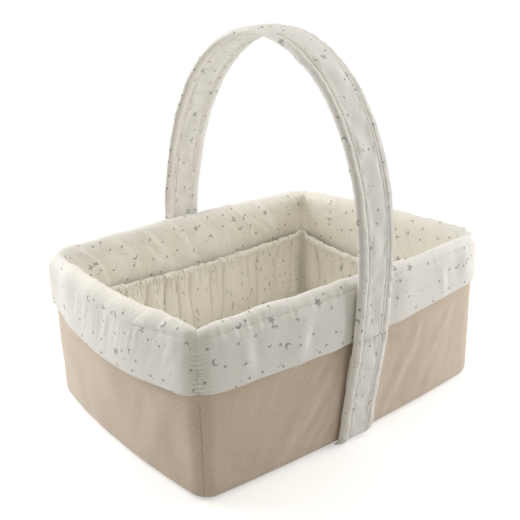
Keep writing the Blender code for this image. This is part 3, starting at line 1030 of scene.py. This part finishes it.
def pocket_section(top, opened):
    """Depth and height of a pocket's cloth: round its casing, then down over its belly to its foot.

    The mouth and the belly stand off by how far the pocket is open there. The belly's upper part is led
    over to the casing by a soft step.
    """
    middle = casing_depth / 2
    casing = [(0, -casing_height), (0, -middle)] + arc((middle, -middle), (middle, middle), 180, 0, 8)
    casing = along_path(casing + [(casing_depth, -casing_height)], casing_points)
    upper = pocket_inset + pocket_stand + pocket_mouth * opened + casing[None, :, 0]
    down = np.linspace(0, 1, belly_points)
    bulge = blurred(np.interp(down, *zip(*belly_outline)), 4)
    lower = pocket_inset + pocket_stand + pocket_belly * opened * bulge
    lower = lower + corner_fill * (1 - opened) * (1 - smooth(down / 0.2))
    lower = lower + (upper[:, -1:] - lower[:, :1]) * (1 - smooth(down / 0.25))
    casing_foot = top - casing_height
    lower_height = casing_foot + (floor_level - casing_foot) * down
    return (np.concatenate((upper, lower[:, 1:]), 1),
            np.concatenate((top + casing[None, :, 1], lower_height[:, 1:]), 1))


def pocket_relief(rng, wall, distance, height, casing_foot, opened):
    """Relief of the gathered cloth: creases of three sizes below the casing, and ruffles above it."""
    drop = np.clip(casing_foot - height, 0, None)
    deep, middling, fine = (creases(rng, wall, distance, drop, family) for family in gathers)
    relief = deep * (0.35 + 0.65 * smooth(drop / deep_from)) + middling + fine
    ruffle = creases(rng, wall, distance, drop * 0, ruffles)
    relief = relief + (ruffle - relief) * smooth((height - casing_foot) / casing_blend)
    to_foot = smooth((height - floor_level) / foot_blend)
    relief = (relief + gather_height) * (0.3 + 0.7 * opened) * to_foot
    relief = relief + uneven(rng, distance, height, pocket_swells) * opened * to_foot
    depth, width = casing_pinch
    relief = relief - depth * bell(height, casing_foot, width)
    fade = smooth(from_seam(distance, wall) / pocket_seam_fade)
    return relief * fade - seam_groove(distance, wall, *pocket_groove)


def outwards(points, column, before, after):
    """Unit vectors square to a column of points, from the columns so far before and after it."""
    across = points[:, column + after] - points[:, column - before]
    return unit(np.cross(np.gradient(points[:, column], axis=0), across))


thread = sewing_thread()
for number, wall in enumerate(walls):
    rng = np.random.default_rng(71 + number)
    distance = stations(wall, pocket_step)
    opened = smooth(from_seam(distance, wall) / pocket_ease)
    top = pocket_height - wall.pocket_sag * (1 - (distance / half_path(wall)) ** 2)
    top = top + uneven(rng, distance, 0, mouth_swells) * opened
    inset, height = pocket_section(top, opened)
    relief = pocket_relief(rng, wall, distance, height, top - casing_height, opened)
    points = on_wall(wall, distance, *pushed(inset, height, relief))
    shift = (number * pocket_map_step, pocket_map_shift)
    piece = cloth_piece(f"pocket_cloth_{wall.name}", points, printed_warm_lit, shift, pocket_fullness)
    declare_sheet(piece, f"pocket_{wall.name}")
    points = points[stitch_ends:-stitch_ends]
    out = outwards(points, casing_points, 1, 2)
    stitch_row(f"casing_stitches_{wall.name}", points[:, casing_points], out)

# Cuff
# The same cloth, sewn to the lining, turned over the wadded rim and hanging down outside to a plain
# turned hem. A row of topstitches under the rim holds the roll, and the corner seams pucker it.
hem_depth = 0.009
hem_back_inset = -0.0016
hem_front_inset = -0.0043
hem_top_inset = -0.0040
hem_step_inset = -0.0036
hem_step = 0.017
leg_inset = -0.0033
leg_level = 0.125
roll_outer = 0.00925
roll_height = 0.0134
section_points = 128
turned_in_points = 10
slope_share = 1.1
cuff_map_shift = 1.3
warm_light_past_top = 0.012
hem_lift = 0.011
hem_lift_from = -0.1
hem_lift_power = 1.2
hem_stiffness = 0.88
hem_stiff_shade = (0.004, 0.020)
stitch_level = 0.1515
stitch_slant = 0.123
loose_share = 0.3
loose_reach = 0.05
end_sewn_share = 0.8
end_sewn_reach = 0.088
end_sewn_fade = 0.035
stitch_slant_reach = 0.080
stitch_groove = (0.0007, 0.0010)
stitch_swells = ((0.00020, 0.0085),)
stitch_swell_reach = 0.006
stitch_margin = 6
cuff_step = 0.0013
cuff_map_step = 0.8
drape_height = 0.0008
drape_swells = ((0.0007, 0.050),)
drape_panels = ((0.0008, 41, 0.038, 0.2), (0.00022, 45, 0.010, 0.35))
drape_margin = 0.015
drape_band_shade = (0.001, 0.016)
drape_top_shade = (-0.010, 0.012)
drape_corner_shade = (-0.004, 0.022)
roll_swell = 0.0009
roll_lumps = ((0.22, 0.055), (0.12, 0.020))
roll_shade = (0.140, 0.014)
stitch_blend = 0.005
top_blend = 0.006
top_blend_level = 0.159
cuff_puckers = (0.0008, 0.0052, 0.0068)
cuff_pucker_shade = (-0.006, 0.01)
cuff_groove = (0.0006, 0.0008)
corner_peaks = (-0.0026, -0.0008, 0.0024, -0.0008)
corner_peak_width = 0.0036
corner_peak_shade = (0.140, 0.010)

# Low and high are the heights between which the folds lie; for the long walls, then for the end walls.
drape_folds = (
    Folds(0.0015, 10, 0.105, 0.130, (76, 104), (0.04, 0.06), (0.0055, 0.0110), 0.003),
    Folds(0.0003, 16, 0.115, 0.152, (50, 80), (0.03, 0.06), (0.0020, 0.0035), 0.014))


def hem_sag(wall, distance):
    """How far the hem sags between the corners, less its lift towards the fuller one of its two."""
    along = towards_full(wall, distance) / half_path(wall)
    lift = hem_lift * np.clip((along - hem_lift_from) / (1 - hem_lift_from), 0, 1) ** hem_lift_power
    return wall.hem_dip * (1 - (distance / half_path(wall)) ** 2) - lift


def sewing(wall, distance):
    """How firmly the topstitches hold the roll along a wall, from 0 to 1, and how high they run.

    On an end wall they slant down from its crisp corner and soon end.
    """
    if wall.turns % 2 == 0:
        held = smooth((loose_reach - distance) / loose_reach)
        return loose_share + (1 - loose_share) * held, stitch_level
    end = from_seam(distance, wall)
    crisp = towards_full(wall, distance) < 0
    level = stitch_level - stitch_slant * np.minimum(end, stitch_slant_reach) * crisp
    return end_sewn_share * smooth((end_sewn_reach - end) / end_sewn_fade) * crisp, level


def draped(rng, wall, distance, height, hung, below, stiff):
    """Relief of the cloth where it hangs free: a swell and slanting folds, less by the stiff hem."""
    drape = uneven(rng, distance, hung * 0.12, drape_swells) * (0.4 + 0.6 * stiff)
    if wall.turns % 2:
        for panel in drape_panels:
            drape = drape + stiff * over_rim(wall, distance, height, below, *panel)
    family = drape_folds[wall.turns % 2]
    reach = half_path(wall) - drape_margin
    family = family._replace(low=(-reach, family.low), high=(reach, family.high))
    return drape + stiff * folds(rng, distance, hung, family)


def cuff_relief(rng, wall, distance, height, hung, below, outside):
    """Relief of the cuff: it hangs outside, is held by the topstitches, and is padded over the roll.

    Hung is the height with the sag of the hem, and below is the way down from the top of the rim.
    """
    stiff = 1 - hem_stiffness + hem_stiffness * shaded(height - hem_height, hem_stiff_shade)
    sewn, level = sewing(wall, distance)
    drape = draped(rng, wall, distance, height, hung, below, stiff) + drape_height
    drape = drape * shaded(beside_handle(wall, distance, hung), drape_band_shade)
    drape = drape * (1 - sewn * shaded(hung - level, drape_top_shade))
    inner = inner_relief(wall, distance, height, below)
    lumps = roll_swell * (0.9 + uneven(rng, distance, 0, roll_lumps)) * sewn
    on_roll = inner * sewn + (1 - sewn) * drape + lumps
    depth, width = stitch_groove
    off = hung - level
    stitched = uneven(rng, distance, hung * 0.1, stitch_swells, 5) * bell(off, 0, stitch_swell_reach)
    stitched = stitched - depth * bell(off, 0, width)
    outer = drape + (on_roll - drape) * smooth(off / stitch_blend) + stitched * sewn
    outer = outer * shaded(from_seam(distance, wall), drape_corner_shade)
    puckers = seam_puckers(distance, hung, wall, *cuff_puckers)
    outer = outer + puckers * shaded(cover_top - hung, cuff_pucker_shade)
    outer = outer - seam_groove(distance, wall, *cuff_groove)
    past_top = (top_blend_level - height) * np.where(outside, -0.5, 0.5)
    padded = inner + lumps * shaded(height, roll_shade)
    relief = outer + (padded - outer) * smooth(0.5 + past_top / top_blend)
    peak = np.choose((wall.turns + (distance > 0)) % 4, corner_peaks)
    peak = seam_groove(distance, wall, peak, corner_peak_width)
    relief = relief + peak * shaded(height, corner_peak_shade)
    relief[:, :turned_in_points] = 0
    return relief


hem_turn = (hem_back_inset - hem_front_inset) / 2
hem_middle = (hem_back_inset + hem_front_inset) / 2
outline = [(hem_back_inset, hem_height + hem_depth)]
outline += arc((hem_middle, hem_height + hem_turn), (hem_turn, hem_turn), 360, 180, 9)
outline += [(hem_top_inset, hem_height + hem_depth), (hem_step_inset, hem_height + hem_step),
            (leg_inset, leg_level), (leg_inset, cover_top)]
outline += arc((roll_middle, roll_level), (roll_outer, roll_height), 180, 0, 30)
section = along_path(outline + [(wall_depth, lining_top)], section_points)
inset, height = section.T[:, None]
top_point = np.argmax(height)
outside = np.arange(section_points)[None, :] < top_point
below = (rim_height - height) * slope_share
rim_path = lengths(section, 0)[-1] * top_point / (section_points - 1)
stitched_point = int(np.argmin(np.abs(height[0] - stitch_level) + 1 - outside[0]))
# The cuff's cloth takes the painted warm light from a little past the rim's top, down its inner side.
printed_cuff = printed_cotton("printed_cotton_cuff", cuff_map_shift + rim_path + warm_light_past_top)
for number, wall in enumerate(walls):
    rng = np.random.default_rng(97 + number)
    distance = stations(wall, cuff_step)
    down = np.clip((cover_top - height) / (cover_top - hem_height), 0, 1.1)
    hung = height - hem_sag(wall, distance) * down * outside
    relief = cuff_relief(rng, wall, distance, height, hung, below, outside)
    points = on_wall(wall, distance, *pushed(inset, hung, relief))
    shift = (number * cuff_map_step, cuff_map_shift)
    piece = cloth_piece(f"cuff_cloth_{wall.name}", points, printed_cuff, shift)
    declare_sheet(piece, f"cuff_{wall.name}")
    if wall.turns % 2 == 0:
        points = points[stitch_margin:-stitch_margin]
        out = outwards(points, stitched_point, 2, 2)
        stitch_row(f"cuff_topstitches_{wall.name}", points[:, stitched_point], out)

# Floor cushion
# A flat pad in the same print, sewn in over the base board: wadding in a cover with a soft rounded edge.
# The walls and the pockets' feet meet it all round.
floor_inset = 0.0168
floor_top = 0.0133
floor_crown = 0.0020
cushion_edge = 0.0040
cushion_dents = ((0.0009, 0.07), (0.0003, 0.025))
cushion_sink = 0.0006
cushion_steps = 900
cushion_rings = 64
cushion_crowding = 1.2
cushion_dent_fade = 0.1
cushion_crown_fade = 0.35
cushion_map_shift = (0.4, 2.1)


def cushion():
    """A low cushion: rings round its rounded edge, then shrinking rings over the crown to a small cap."""
    rng = np.random.default_rng(131)
    half = (floor_top - floor_level) / 2
    edge = arc((floor_inset + cushion_edge, floor_level + half), (cushion_edge, half), 270, 90, 14)
    rings = plan_rings([(floor_inset + 2 * cushion_edge, floor_level)] + edge, cushion_steps)
    share = (1 - np.linspace(0, 1, cushion_rings) ** cushion_crowding)[1:-1, None, None]
    inner = rings[-1] * (share * (1, 1, 0) + (0, 0, 1))
    inwards = 1 - share[..., 0]
    dents = uneven(rng, inner[..., 0], inner[..., 1], cushion_dents) * smooth(inwards / cushion_dent_fade)
    inner[..., 2] += floor_crown * smooth(inwards / cushion_crown_fade) + dents - cushion_sink
    rings = np.concatenate((rings, inner))
    return ringed_piece("floor_cushion", rings, printed, rings[..., :2] + cushion_map_shift)


piece = cushion()
declare(piece, "printed_cotton", "floor_lining", "floor_pad")

# Handle wadding
# A flat strip of the same fleece, which runs through the middle of the sleeve from one lower band to
# the other. It keeps the middle of the handle flat.
handle_depth = 0.008
handle_lean = 0.0028
channel_inset = 0.0146
handle_spring = 0.170
seam_height = 0.1040
strip_width = 0.020
strip_depth = 0.0018
strip_thinning = 0.12
strip_dents = ((0.1, 0.012),)
strip_rings = 620
strip_ring_step = 0.0015
strip_corners = 40
rod_foot = 0.018
ramp_foot = 0.035
step_foot = 0.0845
step_top = 0.0945
handle_stand = 0.0043
handle_cuff_stand = 0.0086
foot_depth = 0.003
foot_turn = 42


def face_of_cover(height):
    """Distance of the cover's face from the middle plane, at mid-length."""
    return half_width + side_bow + wall_flare * height / rim_height


def leaning(height, y):
    """How far the front leg leans to the left between the rim and the top of the arch."""
    share = np.clip((height - rim_height) / (handle_top - rim_height), 0, 1)
    return handle_lean * np.sin(math.pi * share) * (y < 0)


def band_line(foot):
    """Centre line (y, height, depth share) of a lower band, out from the cover, from its foot up."""
    height = np.linspace(foot, seam_height - seam_gap, 120)
    share = smooth((height - ramp_foot) / (step_top - ramp_foot))
    low = face_of_cover(height) + handle_stand
    high = face_of_cover(handle_spring) + handle_cuff_stand
    return np.stack((low + (high - low) * share, height, np.ones_like(height)), 1)


def arch_line():
    """Centre line (y, height, depth share) of the sleeve: up from a cross seam, then half an ellipse."""
    raised = face_of_cover(handle_spring) + handle_cuff_stand
    rise = handle_top - handle_depth / 2 - handle_spring
    angle = np.linspace(math.pi, 0, 240)
    y = np.concatenate(([-raised], raised * np.cos(angle), [raised]))
    height = np.concatenate(([seam_height + seam_gap], handle_spring + rise * np.sin(angle),
                             [seam_height + seam_gap]))
    return np.stack((y, height, np.ones_like(y)), 1)


def swept(line, across, off):
    """Rings of points square to a centre line: across along the basket, off out from the line."""
    run = unit(np.gradient(line[:, :2], axis=0))
    y, height = line[:, :1], line[:, 1:2]
    x = handle_middle(height) + across - drawn_in(height) * np.clip(across / channel_inset, -1, 1)
    x = x - leaning(height, y)
    return np.stack((x, y - off * run[:, 1:], height + off * run[:, :1]), -1)


def squared(turn):
    """A cosine or sine, raised so that the oval it draws is almost a rectangle."""
    return np.sign(turn) * np.abs(turn) ** 0.5


mirror = np.array((-1, 1, 1))
inner_band = band_line(rod_foot)[:-2]
whole = along_path(np.concatenate((inner_band * mirror, arch_line()[1:-1], inner_band[::-1])), strip_rings)
turn = np.linspace(0, math.tau, strip_corners, endpoint=False)
across = strip_width / 2 * squared(np.cos(turn))[None, :]
rng = np.random.default_rng(141)
dents = uneven(rng, np.arange(strip_rings)[:, None] * strip_ring_step, across, strip_dents)
off = strip_depth / 2 * squared(np.sin(turn)) * (1 - strip_thinning - dents)
rings = swept(whole, across, off)
piece = ringed_piece("handle_wadding", rings, white_fleece, paired(across, lengths(rings, 0)))
declare(piece, "wadding", "handle_core")

# Handle sleeve
# One wide tube of the printed cotton over rods and strip. Two rows of stitches close a round channel
# for a rod along each edge, and a cross seam joins each end to a lower band.
channel_width = 0.0124
rod_place = 0.0208
groove_place = 0.0144
second_groove_place = 0.0174
groove_dip = 0.0005
groove_width = 0.0006
second_groove_dip = 0.0004
groove_half = 0.0008
left_groove_place = 0.0170
left_groove_dip = 0.0018
left_groove_width = 0.0010
flat_channel_share = 0.75
centre_half = 0.0025
centre_reach = 0.0179
crown = 0.0030
crown_reach = 0.022
crown_shade = (0.310, 0.05)
near_edge_shares = (1.05, 0.45)
near_edge_shade = (0.10, 0.08)
far_edge_shares = (1.4, 1.05)
roll_edge_share = 0.72
roll_edge_shade = (0.2, 0.06)
legs_blend = 0.06
groove_swells = ((0.00022, 0.0062),)
groove_swell_reach = 0.0026
middle_swells = ((0.00035, 0.020),)
middle_fade = 0.006
channel_swells = ((0.00020, 0.016),)
channel_shade = (0.0150, 0.004)
full_relief_depth = 0.002
inner_step_foot = 0.060
inner_step_shares = (0.7, 0.3)
inner_face_shade = (0.002, 0.0008)
edge_sway = ((0.0003, 0.11), (0.0001, 0.03))
gather_pitch = 0.0030
gather_reach = 0.007
cross_seam_width = 0.0012
handle_stitch_ends = 3
sleeve_ring_step = 0.0016
sleeve_gather = 0.0001
handle_map_step = 0.31
handle_map_shift = 0.57
closing_step = 0.0006
# Places across half a face, from its edge to its middle: from, to, so many; first in degrees.
channel_places = (0, 112, 13)
groove_places = (0.0181, 0.0122, 14)
middle_places = (0.0112, 0.0, 8)


def half_thickness(across, outside, height):
    """Half the sleeve's thickness across it, on its outer or inner face.

    The outer face has a round channel at its left edge, set off by a deep groove. Its other channel and
    the inner face are almost flat, with faint grooves, and over the top of the arch the middle is crowned.
    """
    off = np.abs(across)
    rolled = outside & (across < 0)
    channel = np.sqrt(np.clip(1 - ((off - rod_place) / (channel_width / 2)) ** 2, 0, None))
    channel = handle_depth / 2 * np.where(rolled, 1, flat_channel_share) * channel
    channel = channel * (off > rod_place - channel_width / 2)
    crowned = crown * np.clip(1 - (off / crown_reach) ** 2, 0, None) * shaded(height, crown_shade)
    flat = centre_half * (off < centre_reach) + crowned * outside
    place = np.where(rolled, left_groove_place, groove_place)
    width = np.where(rolled, left_groove_width, groove_width)
    dip = np.where(rolled, left_groove_dip, groove_dip) * bell(off, place, width)
    dip = dip + second_groove_dip * bell(off, second_groove_place, groove_width) * (outside & (across > 0))
    return np.maximum(np.maximum(channel, flat) - dip * (off < rod_place), groove_half * (off < rod_place))


def sleeve_outline():
    """Places across one face of the sleeve, close together round the channels and in the grooves."""
    turn = np.radians(np.linspace(*channel_places))
    half = np.concatenate((rod_place + channel_width / 2 * np.cos(turn), np.linspace(*groove_places),
                           np.linspace(*middle_places)))
    return np.concatenate((half, -half[-2::-1]))


def handle_relief(rng, travelled, across, face):
    """Unevenness of the sleeve's cloth: puckers by the stitches, soft ripples over the flat middle."""
    off = np.abs(across)
    puckers = uneven(rng, travelled, across * 0.3 + face, groove_swells, 7)
    ripples = uneven(rng, travelled, across * 0.5 + face, middle_swells, 7)
    loose = uneven(rng, travelled + across * 0.8, across * 0.5 + face, channel_swells, 7)
    return (puckers * bell(off, groove_place, groove_swell_reach)
            + ripples * smooth((groove_place - off) / middle_fade) + loose * shaded(off, channel_shade))


def between_two(shares, part):
    """From the first share to the second as the part goes from 0 to 1."""
    return shares[0] + (shares[1] - shares[0]) * part


def edge_share(across, y, height):
    """How much of a channel's width shows past its rod: less on the front leg, more on the back one."""
    front = smooth(0.5 - y / legs_blend)
    far = between_two(far_edge_shares, (height / handle_top) ** 2)
    near = between_two(near_edge_shares, shaded(height, near_edge_shade))
    rolled = between_two((1, roll_edge_share), shaded(height, roll_edge_shade))
    return np.where(across > 0, near * front + far * (1 - front), rolled * front + 1 - front)


def inner_step(height):
    """How far a band's inner face stays behind the slope of its middle, down on the cover."""
    quick, slow = (share * smooth((height - foot) / (step_top - foot))
                   for share, foot in zip(inner_step_shares, (step_foot, inner_step_foot)))
    eased = smooth((height - ramp_foot) / (step_top - ramp_foot))
    return (handle_cuff_stand - handle_stand) * (eased - quick - slow)


def handle_piece(name, line, step, seed, gather, outer):
    """A length of the handle: its outline swept along a line, drawn into gathers by its cross seams.

    The gather is their depth. The outer side is 1 or -1 for a band, whose inner face has a step at the
    hem and which has one cross seam, at its top. It is 0 for the sleeve, which has one at each end.
    """
    rng = np.random.default_rng(seed)
    travelled = lengths(line[:, :2], 0)
    even = np.linspace(0, travelled[-1], int(travelled[-1] / step) + 1)
    line = read_along(even, travelled, line)
    travelled = even[:, None]
    to_seam = travelled[-1] - travelled
    if not outer:
        to_seam = np.minimum(to_seam, travelled)
    face = sleeve_outline()
    across = np.concatenate((face, face[::-1][1:-1]))[None, :]
    side = np.concatenate((np.ones(len(face)), -np.ones(len(face) - 2)))[None, :]
    outside = side * (outer or 1) > 0
    y, height, depth = line.T[:, :, None]
    thick = half_thickness(across, outside, height) * depth
    relief = handle_relief(rng, travelled, across, side * 0.2)
    gathered = swell(rng, across, travelled * 0.06 + side * 0.3, gather_pitch, 9) - 1
    relief = relief + gather * gathered * np.exp(-to_seam / gather_reach)
    relief = relief - gather * bell(to_seam, 0, cross_seam_width)
    sway = uneven(rng, travelled, 0, edge_sway, 6)
    off = side * (thick + relief * smooth(thick / full_relief_depth) * np.clip(depth, 0.5, 1))
    off = off - outer * inner_step(height) * shaded(-side * outer * thick, inner_face_shade)
    past_rod = np.clip(np.abs(across) - rod_place, 0, None)
    drawn = across + np.sign(across) * past_rod * (edge_share(across, y, height) - 1)
    rings = swept(line, drawn + sway * np.abs(across) / rod_place, off)
    outline = lengths(paired(across, side * half_thickness(across, outside, 0)), 1)
    down = np.broadcast_to(travelled, rings.shape[:2]) + handle_map_shift
    uv = paired(outline + seed * handle_map_step, down)
    wrapped = np.concatenate((uv, uv[:, :1] + (outline[0, -1] + closing_step, 0)), 1)
    piece = ringed_piece(name, rings, printed, wrapped)
    return piece, rings, face


def stitched_grooves(name, rings, face):
    """Rows of stitches in both grooves of both faces of a length of the handle."""
    last = 2 * len(face) - 2
    sewn = slice(handle_stitch_ends, -handle_stitch_ends)
    for groove, place in (("left", -left_groove_place), ("right", groove_place)):
        column = int(np.argmin(np.abs(face - place)))
        for side, own, opposite in (("outer", column, last - column), ("inner", last - column, column)):
            out = unit(rings[:, own] - rings[:, opposite])
            stitch_row(f"{name}_stitches_{groove}_{side}", rings[sewn, own], out[sewn])


piece, rings, face = handle_piece("handle_sleeve_cloth", arch_line(), sleeve_ring_step, 5, sleeve_gather, 0)
declare(piece, "printed_cotton", "handle_sleeve")
stitched_grooves("sleeve", rings, face)

# Handle lower bands
# The same tube goes on down each long wall, drawn into small gathers under the cross seam, and is
# caught flat round the base edge. The rods end inside it.
band_ring_step = 0.0014
band_gather = 0.0005


def foot_line():
    """Centre line of a band from its flattened foot, round the base edge, up to the cross seam."""
    radius = base_edge_radius + 2 * seam_gap
    centre = face_of_cover(base_edge_radius) - base_edge_radius
    share = np.linspace(0, 1, 16)
    angle = np.radians(foot_turn) * (1 - share)
    depth = foot_depth + (handle_depth - foot_depth) * share
    reach = radius + depth / 2
    foot = np.stack((centre + reach * np.cos(angle), base_edge_radius - reach * np.sin(angle),
                     depth / handle_depth), 1)
    return np.concatenate((foot[:-1], band_line(base_edge_radius + 0.001)))


bands = (("front", foot_line() * mirror, 1), ("back", foot_line(), -1))
for number, (name, line, outer) in enumerate(bands):
    piece, rings, face = handle_piece(f"handle_band_cloth_{name}", line, band_ring_step, 7 + number,
                                      band_gather, outer)
    declare(piece, "printed_cotton", f"handle_band_{name}")
    stitched_grooves(f"band_{name}", rings, face)

# Floor and light
# A pale floor that fades into white, with two soft lights from the sides, a large one overhead and a
# warm, dim surrounding light. Each lamp has its place, its size and its power.
floor_reflection = 0.80
floor_glow = 0.45
floor_reach = 6
fade_middle = 0.62
fade_width = 0.60
aim = (0, 0, 0.1)
lamps = {"overhead": ((0.1, 0.2, 1.6), 1.6, 10.5),
         "from_the_left": ((-0.55, 0.66, 0.48), 0.6, 5.2),
         "from_the_right": ((0.84, -0.46, 0.36), 0.7, 5.8)}
ambient_colour = (1, 0.93, 0.79, 1)
ambient_level = 0.15
ambient_from_above = 0.32
white_colour = (1, 1, 1, 1)


def studio_floor():
    """Matt pale floor; towards the camera it also glows, so that it ends in white and keeps the shadow."""
    material = bpy.data.materials.new("studio_floor")
    material.use_nodes = True
    tree = material.node_tree
    tree.nodes.clear()
    start = Shade(tree)
    pale = (floor_reflection, floor_reflection, floor_reflection, 1)
    matt = start.node("BsdfDiffuse", None, {"Color": pale})
    glow = start.node("Emission", None, {"Color": white_colour, "Strength": floor_glow})
    white = start.node("Emission", None, {"Color": white_colour, "Strength": 1.0})
    both = start.node("AddShader", None, {0: matt, 1: glow})
    place = start.node("TexCoord", output="Object")
    away = start.node("VectorMath", {"operation": "LENGTH"}, {0: place}, 1)
    faded = start.node("MixShader", None, {0: 1 - away.below(fade_middle, fade_width), 1: both, 2: white})
    ray = start.node("LightPath")
    seen = start.node("MixShader", None, {0: ray.also("Is Camera Ray"), 1: matt, 2: faded})
    out = tree.nodes.new("ShaderNodeOutputMaterial")
    tree.links.new(seen.socket, out.inputs["Surface"])
    return material


def area_light(name, place, size, energy):
    """A square area light that faces the basket."""
    lamp = bpy.data.lights.new(name, "AREA")
    lamp.size = size
    lamp.energy = energy
    light = bpy.data.objects.new(name, lamp)
    bpy.context.scene.collection.objects.link(light)
    light.location = place
    light.rotation_euler = (Vector(aim) - Vector(place)).to_track_quat("-Z", "Y").to_euler()
    return light


floor_mesh = bpy.data.meshes.new("floor")
corners = [(x * floor_reach, y * floor_reach, 0) for x, y in ((-1, -1), (1, -1), (1, 1), (-1, 1))]
floor_mesh.from_pydata(corners, [], [(0, 1, 2, 3)])
floor_mesh.materials.append(studio_floor())
floor = bpy.data.objects.new("floor", floor_mesh)
bpy.context.scene.collection.objects.link(floor)
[area_light(name, *values) for name, values in lamps.items()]

world = bpy.data.worlds.new("studio")
world.use_nodes = True
world.node_tree.nodes.clear()
start = Shade(world.node_tree)
towards = start.node("SeparateXYZ", None, {0: start.node("TexCoord", output="Generated")})
brightness = towards.also("Z").over(0) * ambient_from_above + ambient_level
ambient = start.node("Background", None, {"Color": ambient_colour, "Strength": brightness})
white = start.node("Background", None, {"Color": white_colour, "Strength": 1.0})
ray = start.node("LightPath")
seen = start.node("MixShader", None, {0: ray.also("Is Camera Ray"), 1: ambient, 2: white})
out = world.node_tree.nodes.new("ShaderNodeOutputWorld")
world.node_tree.links.new(seen.socket, out.inputs["Surface"])
bpy.context.scene.world = world

# Camera
# It looks down on the near left corner from about eighty centimetres away, through a slightly long
# lens. The picture is cut from a wider one, so its middle lies off the lens's axis.
camera_place = (-0.4758, -0.5710, 0.3979)
camera_forward = (0.55179, 0.77925, -0.29715)
camera_roll = -0.0489
camera_lens = 51.12
camera_shift = (0.1026, -0.0462)

lens = bpy.data.cameras.new("camera")
lens.lens = camera_lens
lens.sensor_width = 36
lens.shift_x, lens.shift_y = camera_shift
camera = bpy.data.objects.new("camera", lens)
camera.location = camera_place
camera.rotation_euler = (Vector(camera_forward).to_track_quat("-Z", "Y")
                         @ Quaternion((0, 0, 1), camera_roll)).to_euler()
bpy.context.scene.collection.objects.link(camera)
bpy.context.scene.camera = camera
bpy.context.scene.view_settings.view_transform = "Standard"
